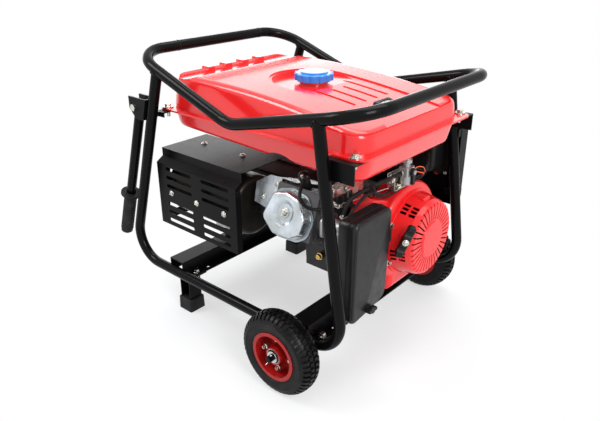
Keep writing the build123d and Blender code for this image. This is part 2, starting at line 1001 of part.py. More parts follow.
def slot_prism(y, grow):
    start_x = cap_x + (slot_clear_r**2 - y**2) ** 0.5 - grow
    length = slot_end_x + grow - start_x
    face = Pos(start_x + length / 2, y) * SlotOverall(length, slot_w + 2 * grow)
    return Pos(0, 0, tank_flange_z) * extrude(face, 2 * (crown_z - tank_flange_z))


def make_tank_upper():
    outer = tank_dome(0) - tank_recesses(0)
    inner = tank_dome(tank_wall) - tank_recesses(tank_wall)
    slot_ys = [(count - (slot_count - 1) / 2) * slot_pitch for count in range(slot_count)]
    slot_floor = recess_depth + slot_depth
    inner -= [slot_prism(y, tank_wall) - crown(slot_floor + tank_wall) for y in slot_ys]
    lip = Pos(0, 0, tank_flange_z) * extrude(tank_outline(0, tank_flange_r), tank_wall)
    shell = lip + outer - inner
    shell -= [slot_prism(y, 0) - crown(slot_floor) for y in slot_ys]
    rib_x = tank_rear_x + tank_lip + tank_edge_r + rib_length / 2
    for count in range(rib_count):
        y = (count - (rib_count - 1) / 2) * rib_pitch
        rib = Pos(rib_x, y, crown_z - tank_edge_r + rib_rise) * Box(rib_length, rib_w, 2 * tank_edge_r)
        shell += fillet(rib.edges().group_by(Axis.Z)[-1], rib_rise - 1) - inner
    neck = Pos(cap_x, 0, pad_z - tank_wall) * extrude(Circle(neck_d / 2), neck_h + tank_wall)
    mouth = Pos(cap_x, 0, pad_z) * Cylinder(neck_d / 2 - neck_wall, 4 * neck_h)
    gauge_hole = gauge_place() * Cylinder(gauge_stem_d / 2, through_cut / 2)
    return shell + neck - mouth - gauge_hole - tank_bolt_holes()


def tank_bolt_places():
    xs = (tank_rear_x + tank_bolt_inset, tank_front_x - tank_bolt_inset)
    return [(x, y) for x in xs for y in (-tank_bolt_y, tank_bolt_y)]


def tank_bolt_holes():
    hole = Cylinder(tank_bolt_d / 2 + slide_gap, through_cut)
    return [Pos(x, y, tank_flange_z) * hole for x, y in tank_bolt_places()]


def tank_floor(skin):
    # Drafted pan whose floor falls towards the recoil end, arched over the cylinder head.
    depth = tank_flange_z - min(tank_floor_front_z, tank_floor_rear_z)
    top = tank_outline(tank_lip + skin, tank_body_r - skin)
    pan = Pos(0, 0, tank_flange_z) * extrude(top, -depth, taper=tank_lower_draft)
    deep = tank_floor_front_z - 2 * depth
    below = outline([
        (tank_rear_x, tank_floor_rear_z + skin), (tank_front_x, tank_floor_front_z + skin),
        (tank_front_x, deep), (tank_rear_x, deep),
    ])
    pan -= extrude(section_xz(2 * tank_half_w) * below, 4 * tank_half_w)
    pan = fillet(pan.faces().sort_by(Axis.Z)[0].edges(), tank_floor_r)
    arch = Pos(arch_x, -tank_half_w, tank_floor_front_z - arch_drop) * Cylinder(
        arch_r + skin, 2 * (arch_depth + skin), rotation=(quarter_turn, 0, 0)
    )
    return pan - arch


def make_tank_lower():
    lip = Pos(0, 0, tank_flange_z - tank_wall) * extrude(tank_outline(0, tank_flange_r), tank_wall)
    shell = lip + tank_floor(0) - tank_floor(tank_wall)
    tap_hole = Pos(tap_x, tap_y, tank_floor_front_z) * Cylinder(tap_pipe_d / 2, through_cut)
    return shell - tank_bolt_holes() - tap_hole


def tank_floor_z(x):
    share = (x - tank_rear_x) / (tank_front_x - tank_rear_x)
    return tank_floor_rear_z + share * (tank_floor_front_z - tank_floor_rear_z)


def make_tank_bracket(bolt_x, post_x, skirt_depth):
    # Angle welded to a post, its shelf under the tank's flange.
    shelf_top = tank_flange_z - tank_wall - seat_gap
    wall_y = frame_half - tube_d / 2 - tank_wall
    low_x = post_x - bracket_tab_half
    high_x = max(post_x + bracket_tab_half, bolt_x + bracket_ear)
    shelf = box_between((low_x, -wall_y, shelf_top - sheet), (high_x, -tank_bolt_y + bracket_ear, shelf_top))
    skirt = box_between((low_x, -wall_y, shelf_top - skirt_depth), (high_x, -wall_y + sheet, shelf_top))
    tab = box_between(
        (low_x, -frame_half, shelf_top - 0.85 * skirt_depth),
        (post_x + bracket_tab_half, -wall_y + sheet, shelf_top),
    )
    hole = Pos(bolt_x, -tank_bolt_y, shelf_top) * Cylinder(tank_bolt_d / 2 + slide_gap, through_cut)
    pan = Pos(0, 0, tank_flange_z) * extrude(tank_outline(tank_lip - body_gap, tank_body_r), -through_cut)
    return shelf + skirt + tab - hole - loop_bar - pan


def make_tank_bolt(x, y):
    # Flanged bolt with its washer, down through flange and bracket.
    top = tank_flange_z + tank_wall + seat_gap
    washer = Pos(x, y, top) * extrude(Circle(washer_r), washer_h)
    head = Pos(x, y, top + washer_h) * extrude(RegularPolygon(tank_bolt_head_r, 6), tank_bolt_head_h)
    shank = Pos(x, y, top) * extrude(Circle(tank_bolt_d / 2), -tank_bolt_reach)
    return washer + head + shank


def make_fuel_cap():
    # Lobed cap with a raised centre disc and a plug that fits the filler neck.
    low = pad_z + neck_h + body_gap
    pitch = pi * cap_d / cap_lobes
    lobe = pitch / 2.6
    core = Circle(cap_d / 2 - pitch / 5) + [
        place * Circle(lobe) for place in PolarLocations(cap_d / 2 - lobe, cap_lobes)
    ]
    body = Pos(cap_x, 0, low) * extrude(core, cap_h)
    body = chamfer(body.edges().group_by(Axis.Z)[-1], cap_chamfer)
    disc = Pos(cap_x, 0, low + cap_h) * extrude(Circle(cap_d / 2 - cap_disc_inset), cap_disc_h)
    plug = Pos(cap_x, 0, low) * extrude(Circle(neck_d / 2 - neck_wall - slide_gap), -cap_plug)
    return body + disc + plug


def gauge_place():
    # On the field beside the filler, square to the crowned surface there.
    tilt = degrees(asin((gauge_x - crown_x) / crown_r))
    return Pos(gauge_x, 0, crown_at(gauge_x, recess_depth)) * Rot(0, tilt, 0)


def make_fuel_gauge():
    # Rectangular bezel with a window, its stem down through the top of the tank.
    bezel = RectangleRounded(gauge_length, gauge_width, gauge_corner_r)
    base = Pos(0, 0, body_gap) * extrude(bezel, gauge_h)
    base = chamfer(base.edges().group_by(Axis.Z)[-1], gauge_chamfer)
    glass = RectangleRounded(*gauge_window, gauge_window_r)
    window = Pos(0, 0, gauge_h - gauge_window_depth) * extrude(glass, gauge_h)
    stem = Pos(0, 0, body_gap) * extrude(Circle(gauge_stem_d / 2 - seat_gap), -4 * tank_wall)
    return gauge_place() * (base - window + stem)


def hose_tail():
    return rod((tap_x, tap_y, tap_z), (tap_x, tap_y - tail_reach, tap_z), tail_d)


def make_fuel_tap():
    # Petcock under the tank: pipe, valve body, sediment bowl and hose tail.
    floor_z = tank_floor_z(tap_x)
    pipe = rod((tap_x, tap_y, tap_z), (tap_x, tap_y, floor_z + 3 * tank_wall), tap_pipe_d)
    body = Pos(tap_x, tap_y, tap_z) * Box(*tap_body)
    bowl = Pos(tap_x, tap_y, tap_z - tap_body[2] / 2) * extrude(Circle(bowl_r), -bowl_depth)
    bowl = fillet(bowl.edges().group_by(Axis.Z)[0], tap_body_r)
    spindle = rod((tap_x, tap_y, tap_z), (tap_x + spindle_reach, tap_y, tap_z), tap_spindle_d)
    nut = Pos(tap_x, tap_y, floor_z - tap_nut_h - 1) * extrude(RegularPolygon(tap_nut_r, 6), tap_nut_h)
    return fillet(body.edges().filter_by(Axis.Z), tap_body_r) + pipe + bowl + hose_tail() + spindle + nut


def make_tap_lever():
    # Flat lever on the spindle, pointing down when open.
    arm = Pos(tap_y, tap_z) * Circle(tap_lever_r)
    arm += Pos(tap_y, tap_z - tap_lever_length / 2) * Rectangle(tap_lever_r, tap_lever_length)
    arm -= Pos(tap_y, tap_z) * Circle(tap_spindle_d / 2 + running_gap)
    return extrude(section_yz(tap_x + tap_lever_at) * arm, tap_lever_thick)


def make_fuel_hose():
    path = FilletPolyline(*hose_route, radius=hose_bend_r)
    inlet = rod((inlet_x, carb_y, carb_z), (inlet_x, carb_y, carb_z + inlet_rise), tail_d)
    return swept(path, hose_d) - hose_tail() - inlet


# Engine

def bore_box(u_low, u_high, v_low, v_high, w_low, w_high):
    # A block in the tilted frame of the cylinder.
    centre = ((u_low + u_high) / 2, (v_low + v_high) / 2, (w_low + w_high) / 2)
    return bore * (Pos(*centre) * Box(u_high - u_low, v_high - v_low, w_high - w_low))


def make_crankcase():
    width = crankcase_front_x - crankcase_rear_x
    base_half = alternator_foot + base_wing
    low = engine_base_z
    bulge_out, bulge_drop = case_bulge
    heel_out, heel_rise = case_heel
    skirt = outline([
        (crank_y - base_half, low), (crank_y + base_half, low), (crank_y + base_half, low + base_thick),
        (crank_y + crankcase_r, crank_z), (crank_y - crankcase_r - bulge_out, crank_z - bulge_drop),
        (crank_y - base_half - heel_out, low + heel_rise), (crank_y - base_half, low + base_thick),
    ])
    profile = skirt + Pos(crank_y, crank_z) * Circle(crankcase_r)
    case = extrude(section_yz(crankcase_rear_x) * profile, width)
    case = chamfer(case.faces().sort_by(Axis.X)[-1].edges(), case_chamfer)
    base = box_between(
        (crankcase_rear_x + base_setback, crank_y - base_half, low),
        (front_channel_x + hat_top / 2, crank_y + base_half, low + base_thick),
    )
    boss = bore * upright(bore_r + boss_wall, fin_start)
    drum = crank * Pos(0, 0, crankcase_front_x) * upright(seal_r, seal_h)
    shaft_hole = crank * Pos(0, 0, crankcase_rear_x - through_cut) * upright(
        shaft_d / 2 + running_gap, width + 2 * through_cut
    )
    drain_z = low + drain_rise
    drain_y = crank_y - base_half - drain_out
    drains = [rod((x, drain_y, drain_z), (x, crank_y, drain_z), drain_d) for x in drain_xs]
    filler = rod(filler_seat, filler_root, filler_d + 2 * filler_wall)
    chamber = crank * Pos(0, 0, crankcase_rear_x + case_wall) * upright(
        crankcase_r - case_wall, width - 2 * case_wall
    )
    return case + base + boss + drum + drains + filler - shaft_hole - chamber - filler_bore()


def filler_bore():
    deep = Vector(*filler_seat) - filler_dir * filler_bore_depth
    return rod(tuple(deep), tuple(Vector(*filler_seat) + filler_dir * filler_wall), filler_d)


def make_oil_cap():
    # Screw-in filler cap with a ribbed grip and a dipstick stub.
    seat = Plane(origin=filler_seat, z_dir=filler_dir)
    notches = [place * Circle(oil_cap_notch_r) for place in PolarLocations(oil_cap_r, oil_cap_notches)]
    head = Pos(0, 0, body_gap) * extrude(Circle(oil_cap_r) - notches, oil_cap_h)
    stem = Pos(0, 0, body_gap - oil_stem) * upright(filler_d / 2 - running_gap, oil_stem)
    return seat * (head + stem)


def make_cylinder():
    # Finned barrel, head block with its own fins, intake and exhaust flanges.
    core = bore * Pos(0, 0, fin_start) * upright(bore_r + barrel_wall, head_end - fin_start)
    fin = extrude(RectangleRounded(2 * fin_half, 2 * fin_half - fin_trim, fin_corner_r), fin_thick)
    count = int((fin_end - fin_start) / fin_pitch)
    fins = [bore * Pos(0, 0, fin_start + step * fin_pitch) * fin for step in range(count)]
    side = fin_half - head_inset
    height = fin_half - fin_trim
    head = bore_box(-side, side, -height, height, fin_end, head_end)
    grooves = []
    for step in range(head_fins):
        at = fin_end + head_fin_gap + step * head_fin_pitch
        deep = fin_half - head_fin_depth
        grooves.append(bore_box(-fin_half, fin_half, deep, fin_half, at, at + head_fin_gap))
        grooves.append(bore_box(-fin_half, fin_half, -fin_half, -deep, at, at + head_fin_gap))
    flange = Rot(0, quarter_turn, 0) * Cylinder(port_flange_r, port_flange_w)
    port_at = fin_half + fin_trim - port_flange_w / 2
    ports = [bore * Pos(side * port_at, port_v, port_w) * flange for side in (-1, 1)]
    return core + fins + (head - grooves) + ports


def valve_outline(grow):
    face = outline(cover_points, cover_corner_r)
    if grow:
        face = offset(face, grow)
    return face


def make_valve_cover():
    # Pressed cover: flat flange, drafted wall, crowned face and a round bolt recess.
    rim = bore * Pos(0, 0, head_end) * extrude(valve_outline(cover_flange), cover_flange_h)
    wall = bore * Pos(0, 0, head_end) * loft(
        [valve_outline(cover_flare), Pos(0, 0, cover_end - head_end) * valve_outline(0)], ruled=True
    )
    wall = fillet(wall.faces().sort_by(Axis(bore.origin, bore.z_dir))[-1].edges(), cover_edge_r)
    floor = bore * Pos(*dish_place, cover_end - dish_depth)
    dish = floor * Cone(dish_floor_r, dish_r, dish_depth, align=(Align.CENTER, Align.CENTER, Align.MIN))
    bolt = floor * Pos(0, 0, -1) * extrude(RegularPolygon(cover_bolt_r, 6), dish_depth)
    room = cover_end - head_end - dish_depth - cover_wall
    hollow = bore * Pos(0, 0, head_end) * extrude(valve_outline(-cover_wall), room)
    return rim + wall - dish + bolt - hollow


def make_plug_cap():
    # Elbow boot on the spark plug, seated on the head's upper side.
    boot = rod(plug_seat, plug_knee, plug_boot_d)
    head = bore_box(-fin_half, fin_half, -fin_half, fin_half - fin_trim, fin_end, head_end)
    return boot + Pos(*plug_knee) * Sphere(plug_knee_r) + rod(plug_knee, plug_tail, plug_tail_d) - head


def make_plug_lead():
    path = FilletPolyline(*lead_route, radius=lead_bend_r)
    return swept(path, lead_d) - make_plug_cap()


def make_heat_shield():
    # Bent zinc sheet between head and muffler, folded back over the head.
    left = -fin_half + head_inset
    top = fin_half
    near = head_end - shield_setback
    plate = outline([*shield_points, (left - fin_trim, top), (left, top), (left, -18), (-88, -14)])
    face = bore * Pos(0, 0, near) * extrude(plate, panel_sheet)
    fold = bore_box(
        left - fin_trim, left - fin_trim + shield_fold, top - panel_sheet, top,
        near - shield_fold_reach, near + panel_sheet,
    )
    return face + fold


def blower_round_outline():
    # Round fan housing with a tail down to the engine's base.
    tail_half = blower_r - blower_tail_trim
    tail_low = crank_z - blower_r - blower_tail_drop
    tail = box_outline(crank_y - tail_half, crank_y + tail_half, tail_low, crank_z)
    return Pos(crank_y, crank_z) * Circle(blower_r) + tail


def duct_outline():
    # The duct over the barrel, in the cylinder's tilted frame.
    out_y, out_z = cylinder_out[1:]
    up_y, up_z = cylinder_up[1:]
    corners = ((0, duct_top), (duct_reach, duct_top), (duct_reach, duct_low), (0, duct_low - duct_heel))
    return outline([(crank_y + w * out_y + v * up_y, crank_z + w * out_z + v * up_z) for w, v in corners])


def blower_block(face, front_x, edge_r, skin):
    if skin:
        face = offset(face, -skin, kind=Kind.INTERSECTION)
    block = extrude(section_yz(blower_rear_x) * face, front_x - skin - blower_rear_x)
    return fillet(block.faces().sort_by(Axis.X)[-1].edges(), edge_r - skin)


def make_blower():
    shell = blower_block(blower_round_outline(), blower_front_x, blower_round, 0)
    shell += blower_block(duct_outline(), duct_front_x, duct_round, 0)
    shell -= blower_block(blower_round_outline(), blower_front_x, blower_round, blower_wall)
    shell -= blower_block(duct_outline(), duct_front_x, duct_round, blower_wall)
    mouth = crank * Pos(0, 0, blower_front_x) * Cylinder(blower_mouth_r, 4 * blower_wall)
    return shell - mouth


def recoil_profile():
    # Lip on the blower, drafted wall with a rolled edge, flat face and a raised hub.
    front = recoil_front_x
    wall = recoil_wall
    rear = blower_front_x
    flange = recoil_flange_r
    hub_x = front + recoil_hub_rise
    outer = [
        (rear, flange), (rear + recoil_lip, flange), (rear + recoil_lip, flange - recoil_lip),
        (front - 14, flange - 13), (front - 4, flange - 17), (front, flange - 23),
        (front, recoil_hub_r + recoil_hub_rise), (hub_x, recoil_hub_r), (hub_x, 0),
    ]
    inner = [
        (front - wall, 0), (front - wall, flange - 24), (front - 15, flange - 16),
        (rear + recoil_lip, flange - recoil_lip - wall), (rear, flange - recoil_lip - wall),
    ]
    return outline(outer + inner)


def crank_revolve(profile):
    lengthwise = Plane(origin=(0, crank_y, crank_z), x_dir=(1, 0, 0), z_dir=(0, -1, 0))
    return revolve(lengthwise * profile, axis=crank_axis)


def make_recoil_cover():
    # Turned cover with radial slots in its face and groups of vents in its wall.
    cover = crank_revolve(recoil_profile())
    slot_in, slot_out = recoil_slot_span
    slot = Pos((slot_in + slot_out) / 2, 0, 0) * Box(slot_out - slot_in, recoil_slot_w, 6 * recoil_wall)
    face_slots = [
        crank * Rot(0, 0, count * 360 / recoil_slots) * Pos(0, 0, recoil_front_x) * slot
        for count in range(recoil_slots)
    ]
    wall_vents = []
    for start in vent_groups:
        for count in range(vent_count):
            turn = crank * Rot(0, 0, start + count * vent_step)
            wall_vents += [turn * Pos(recoil_flange_r - 8, 0, x) * Box(*vent_size) for x in vent_rows]
    post = crank * Pos(0, 0, recoil_front_x - pulley_post) * upright(pulley_post_d / 2, pulley_post)
    rope_start = Vector(*grip_centre) - pull_dir * eyelet_root
    rope_end = Vector(*grip_centre) - pull_dir * (pull_stem + body_gap)
    eyelet = rod(tuple(rope_start), tuple(rope_end), eyelet_d)
    hump_at = Pos(recoil_flange_r - 12, 0, blower_front_x + 22)
    hump = fillet((crank * Rot(0, 0, hump_angle) * hump_at * Box(*hump_size)).edges(), hump_r)
    hump -= crank_revolve(outline([
        (blower_front_x, 0), (recoil_front_x, 0), (recoil_front_x, recoil_flange_r - 26),
        (blower_front_x, recoil_flange_r - 8),
    ]))
    throat = rod(tuple(rope_start - pull_dir), grip_centre, throat_d)
    return cover - face_slots - wall_vents + post + eyelet + hump - throat


def make_recoil_grip():
    # T-shaped grip, its bar across the pull and a stem against the rope eyelet.
    level = Vector(-pull_dir.Y, pull_dir.X, 0) * grip_slant
    bar_dir = level + Vector(0, 0, (1 - grip_slant**2) ** 0.5)
    base = Plane(origin=grip_centre, x_dir=bar_dir, z_dir=pull_dir)
    bar = extrude(RectangleRounded(pull_grip_length, pull_grip_w, pull_grip_r), pull_grip_h)
    bar = fillet(bar.edges(), pull_grip_edge)
    finger = Rot(quarter_turn, 0, 0) * Cylinder(finger_r, 2 * pull_grip_w)
    scoops = [Pos(side * pull_grip_length / 4, 0, pull_grip_h + finger_lift) * finger for side in (-1, 1)]
    stem = Pos(0, 0, -pull_stem) * upright(pull_stem_r, 2 * pull_stem)
    return base * (bar - scoops + stem)


def make_pulley():
    # Rope sheave on the cover's post.
    hub = pulley_post_d / 2 + running_gap
    front = recoil_front_x - pulley_inset
    rear = front - pulley_width
    cheek = pulley_cheek
    return crank_revolve(outline([
        (rear, hub), (rear, pulley_r), (rear + cheek, pulley_r), (rear + 2 * cheek, pulley_r - pulley_groove),
        (rear + 4 * cheek, pulley_r - pulley_groove),
        (rear + 5 * cheek, pulley_r), (rear + 6 * cheek, pulley_r),
        (rear + 6 * cheek, pulley_boss_r), (front, pulley_boss_r), (front, hub),
    ]))


def make_flywheel():
    # Flywheel disc with swept fan blades on its face.
    rear = blower_rear_x + 4
    face = rear + flywheel_face
    disc = crank_revolve(outline([
        (rear, shaft_d / 2), (rear, flywheel_r), (rear + flywheel_rim, flywheel_r),
        (face, flywheel_r - flywheel_bevel), (face, flywheel_hub_r), (rear + flywheel_hub, flywheel_hub_r),
        (rear + flywheel_hub, shaft_d / 2),
    ]))
    root = Pos(flywheel_r - blade_inset, 0, face - 2) * Rot(0, 0, blade_sweep)
    blade = crank * root * Box(*blade_size, align=(Align.CENTER, Align.CENTER, Align.MIN))
    blades = [blade.rotate(crank_axis, count * 360 / blade_count) for count in range(blade_count)]
    return disc + blades


def make_crankshaft():
    # Engine shaft with the rotor core, tapering down to the end bearing.
    rear = bell_rear_x + 14
    neck_x = crankcase_rear_x - 6
    nose_x = blower_rear_x + 38
    nose_end = nose_x + 14
    nose_r = 10
    return crank_revolve(outline([
        (rear, 0), (rear, bell_bearing_r), (rotor_rear_x, bell_bearing_r), (rotor_rear_x, rotor_r),
        (rotor_front_x, rotor_r), (rotor_front_x, rotor_neck_r), (neck_x, rotor_neck_r),
        (neck_x, shaft_d / 2), (nose_x, shaft_d / 2), (nose_x, nose_r), (nose_end, nose_r), (nose_end, 0),
    ]))


# Intake

def air_outline(grow=0.0):
    # Tall box, its foot sloping up to the recoil side.
    low_right = air_low_z + air_low_right
    return outline([
        (air_left_y + air_top_in - grow, air_high_z + grow), (air_right_y + grow, air_high_z + grow),
        (air_right_y + grow, low_right - grow), (air_left_y + air_foot_in - grow, air_low_z - grow),
    ], air_corner_r)


def facet(skin):
    # Everything in front of the slanted lower facet of the cover.
    crease = [Vector(air_front_x - skin, y, z) for y, z in facet_crease]
    corner = Vector(air_front_x - facet_sink - skin, *facet_corner)
    along = crease[1] - crease[0]
    ahead = along.cross(corner - crease[0])
    if ahead.X < 0:
        ahead = -ahead
    half_space = Plane(origin=crease[0], x_dir=along, z_dir=ahead)
    size = 4 * (air_high_z - air_low_z)
    return half_space * Pos(0, 0, through_cut / 2) * Box(size, size, through_cut)


def make_air_base():
    depth = air_seam_x - air_rear_x
    tub = extrude(section_yz(air_rear_x) * air_outline(), depth)
    tub = fillet(tub.faces().sort_by(Axis.X)[0].edges(), air_rear_r)
    hollow = extrude(section_yz(air_rear_x + air_wall) * air_outline(-air_wall), depth)
    snout = rod((carb_front_x, carb_y, carb_z), (air_rear_x + air_wall, carb_y, carb_z), snout_d)
    intake = rod((carb_front_x - 1, carb_y, carb_z), (air_seam_x, carb_y, carb_z), snout_bore)
    return tub - hollow + snout - intake


def make_air_cover():
    # Hood with a rolled front edge, a slanted lower facet and the knob's screw hole.
    depth = air_front_x - air_seam_x
    rim = extrude(section_yz(air_seam_x) * air_outline(air_rim), air_rim_w)
    body = extrude(section_yz(air_seam_x) * air_outline(), depth)
    body = fillet(body.faces().sort_by(Axis.X)[-1].edges(), air_front_r) - facet(0)
    hollow = extrude(section_yz(air_seam_x - 1) * air_outline(-air_wall), depth + 1 - air_wall)
    hollow -= facet(air_wall)
    hole = rod((air_seam_x, knob_y, knob_z), (air_front_x + 1, knob_y, knob_z), knob_stem_d + 2 * running_gap)
    boss = rod((air_front_x - 3 * air_wall, knob_y, knob_z), (air_front_x, knob_y, knob_z), 2 * knob_hub_r)
    return rim + body - hollow + boss - hole


def make_air_filter():
    # Pleated paper element in the air box, held between base and cover.
    low_y = air_left_y + 2 * filter_inset
    high_y = air_right_y - filter_inset
    folds = int((high_y - low_y) / filter_pitch)
    block = box_between(
        (air_rear_x + air_wall, low_y, air_low_z + filter_foot),
        (air_front_x - facet_sink - air_wall - body_gap, high_y, air_high_z - filter_inset),
    )
    grooves = []
    for fold in range(folds):
        start_y = low_y + (fold + 1 - filter_fold) * filter_pitch
        grooves.append(box_between(
            (air_seam_x, start_y, air_low_z), (air_front_x, start_y + filter_fold * filter_pitch, air_high_z)
        ))
    intake = rod((air_rear_x, carb_y, carb_z), (air_seam_x - filter_seat, carb_y, carb_z), snout_d)
    return block - grooves - intake


def make_air_knob():
    # Wing knob on a short screw through the cover's front.
    face = air_front_x + body_gap
    wings = SlotOverall(*knob_wings) + Circle(knob_hub_r)
    head = extrude(section_yz(face) * Pos(knob_y, knob_z) * wings, knob_h)
    stem = rod((face - knob_stem, knob_y, knob_z), (face + 1, knob_y, knob_z), knob_stem_d)
    return fillet(head.faces().sort_by(Axis.X)[-1].edges(), knob_edge_r) + stem


def make_carburettor():
    # Barrel between head and air box, float bowl below and hose inlet on top.
    barrel = rod((carb_rear_x, carb_y, carb_z), (carb_front_x, carb_y, carb_z), carb_barrel_d)
    throat = rod((carb_rear_x - 1, carb_y, carb_z), (carb_front_x + 1, carb_y, carb_z), carb_throat_d)
    plate = RectangleRounded(*carb_flange, carb_flange_r)
    flanges = [
        extrude(section_yz(x) * Pos(carb_y, carb_z) * plate, carb_flange_w)
        for x in (carb_rear_x, carb_front_x - carb_flange_w)
    ]
    middle = (carb_rear_x + carb_front_x) / 2
    top_z = carb_z - float_bowl_top
    neck = Pos(middle, carb_y, top_z + float_neck / 3) * Cylinder(float_neck_r, float_neck)
    bowl = Pos(middle, carb_y, top_z - float_bowl_h) * upright(float_bowl_r, float_bowl_h)
    bowl = fillet(bowl.edges().group_by(Axis.Z)[0], float_bowl_edge)
    drain_top = top_z - float_bowl_h + 2
    drain = Pos(middle, carb_y, drain_top) * extrude(RegularPolygon(bowl_drain_r, 6), -bowl_drain_h)
    stud = rod((choke_x, carb_y, carb_z), (choke_x, choke_y, carb_z), choke_pin_d)
    inlet = rod((inlet_x, carb_y, carb_z), (inlet_x, carb_y, carb_z + inlet_rise), tail_d)
    return barrel + flanges + neck + bowl + drain + stud + inlet - throat


def make_choke_lever():
    # Pressed lever with a bent tab, clipped on the carburettor's choke shaft.
    arm_w, arm_h = choke_arm
    tab_w, tab_reach, tab_sheet = choke_tab
    face_y = choke_y + 1 + choke_sheet
    arm = Pos(choke_x, carb_z) * Circle(choke_hub_r)
    arm += Pos(choke_x, carb_z + arm_h / 2) * Rectangle(arm_w, arm_h)
    plate = extrude(section_xz(face_y) * arm, choke_sheet)
    tab_z = carb_z + arm_h - tab_sheet
    tab = box_between(
        (choke_x - tab_w / 2, face_y - tab_reach, tab_z), (choke_x + tab_w / 2, face_y, tab_z + tab_sheet)
    )
    hole_d = choke_pin_d + 2 * running_gap
    hole = rod((choke_x, carb_y, carb_z), (choke_x, choke_y - through_cut, carb_z), hole_d)
    return plate + tab - hole


def make_control_plate():
    # Zinc governor bracket along the blower's duct, with a shelf and the governor's post.
    plate = extrude(section_yz(plate_x) * outline(plate_points, plate_corner_r), panel_sheet)
    low_y, high_y = shelf_span
    shelf = box_between(
        (plate_x - shelf_depth, low_y, shelf_z), (plate_x + panel_sheet, high_y, shelf_z + panel_sheet)
    )
    low_z, high_z = governor_post_z
    post = rod((governor_x, governor_y, low_z), (governor_x, governor_y, high_z), governor_post_d)
    return plate + shelf + post


def make_governor_arm():
    # Flat arm on the governor shaft, with the throttle rod's pin at its tip.
    arm_w, arm_long = governor_arm_size
    arm = Pos(governor_x, governor_y) * Circle(governor_hub_r)
    arm += Pos(governor_x, governor_y - arm_long / 2) * Rectangle(arm_w, arm_long)
    arm -= Pos(governor_x, governor_y) * Circle(governor_post_d / 2 + running_gap)
    plate = Pos(0, 0, governor_z) * extrude(arm, governor_sheet)
    pin_y = governor_y - governor_pin_at
    pin_z = governor_z + governor_sheet / 2
    pin = rod((governor_x, pin_y, pin_z), (governor_x, pin_y, pin_z + governor_pin_h), governor_pin_d)
    return plate + pin


# Exhaust

def muffler_drum(skin):
    length = muffler_front_x - muffler_rear_x - 2 * skin
    drum = Pos(muffler_rear_x + skin, muffler_y, muffler_z) * Rot(0, quarter_turn, 0) * upright(
        muffler_r - skin, length
    )
    return fillet(drum.edges().filter_by(GeomType.CIRCLE), muffler_round - skin)


def make_muffler():
    # Welded drum with pressed ends, mounting bosses and the exhaust elbow to the head.
    top_z = guard_top_z - panel_sheet
    face_y = guard_face_y + panel_sheet
    bosses = [
        rod((x, guard_top_screw_y, muffler_z), (x, guard_top_screw_y, top_z), guard_boss_d)
        for x in guard_top_screws
    ]
    bosses += [
        rod((x, muffler_y, muffler_z), (x, face_y, muffler_z), guard_boss_d) for x in guard_face_screws
    ]
    port = bore.from_local_coords(Vector(-fin_half - fin_trim, port_v, port_w))
    end_y = muffler_y + exhaust_shift
    route = FilletPolyline(
        tuple(port), (port.X - exhaust_out, port.Y, port.Z), (muffler_front_x + exhaust_in, end_y, muffler_z),
        (muffler_front_x - exhaust_bite, end_y, muffler_z), radius=exhaust_bend_r,
    )
    flange_w = port_flange_w / 2
    flange_at = bore * Pos(-fin_half - fin_trim - flange_w / 2, port_v, port_w)
    flange = flange_at * Rot(0, quarter_turn, 0) * Cylinder(port_flange_r, flange_w)
    return muffler_drum(0) + bosses + swept(route, exhaust_d) + flange - muffler_drum(muffler_wall)


def make_guard():
    # Bent sheet cover: top plate, upper band, bevel and louvred face with return edges.
    skin = panel_sheet
    return_y = guard_face_y + guard_return
    outer = [
        (guard_back_y, guard_top_z), (guard_band_y, guard_top_z), (guard_band_y, guard_step_z),
        (guard_face_y, guard_face_z), (guard_face_y, guard_low_z), (return_y, guard_low_z),
    ]
    inner = [
        (return_y, guard_low_z + skin), (guard_face_y + skin, guard_low_z + skin),
        (guard_face_y + skin, guard_face_z - skin / 2), (guard_band_y + skin, guard_step_z - skin / 2),
        (guard_band_y + skin, guard_top_z - skin), (guard_back_y, guard_top_z - skin),
    ]
    cover = extrude(section_yz(guard_rear_x) * outline(outer + inner), guard_front_x - guard_rear_x)
    end = outline(outer[:5] + [(guard_back_y, guard_low_z)])
    window_y = guard_back_y - guard_window_inset
    foot_in, foot_rise = guard_window_foot
    window = outline([
        (window_y, guard_top_z - guard_window_top[0]),
        (guard_face_y + through_cut, guard_top_z - guard_window_top[1]),
        (guard_face_y + foot_in, guard_low_z + foot_rise), (window_y, guard_low_z + foot_rise),
    ], guard_window_r)
    rear_wall = extrude(section_yz(guard_rear_x) * (end - window), skin)
    lip = box_between(
        (guard_front_x - skin, guard_face_y, guard_low_z),
        (guard_front_x, guard_face_y + guard_side_return, guard_face_z - guard_window_inset / 2),
    )
    slots = []
    for x in guard_columns:
        for half in (-1, 1):
            for row in range(guard_slot_rows):
                z = guard_slot_mid_z + half * (guard_slot_first + row * guard_slot_pitch)
                slot = Pos(x, z) * SlotOverall(guard_slot_length, guard_slot_w)
                slots.append(extrude(section_xz(guard_face_y + 4 * skin) * slot, 8 * skin))
    return cover + rear_wall + lip - slots


# Alternator

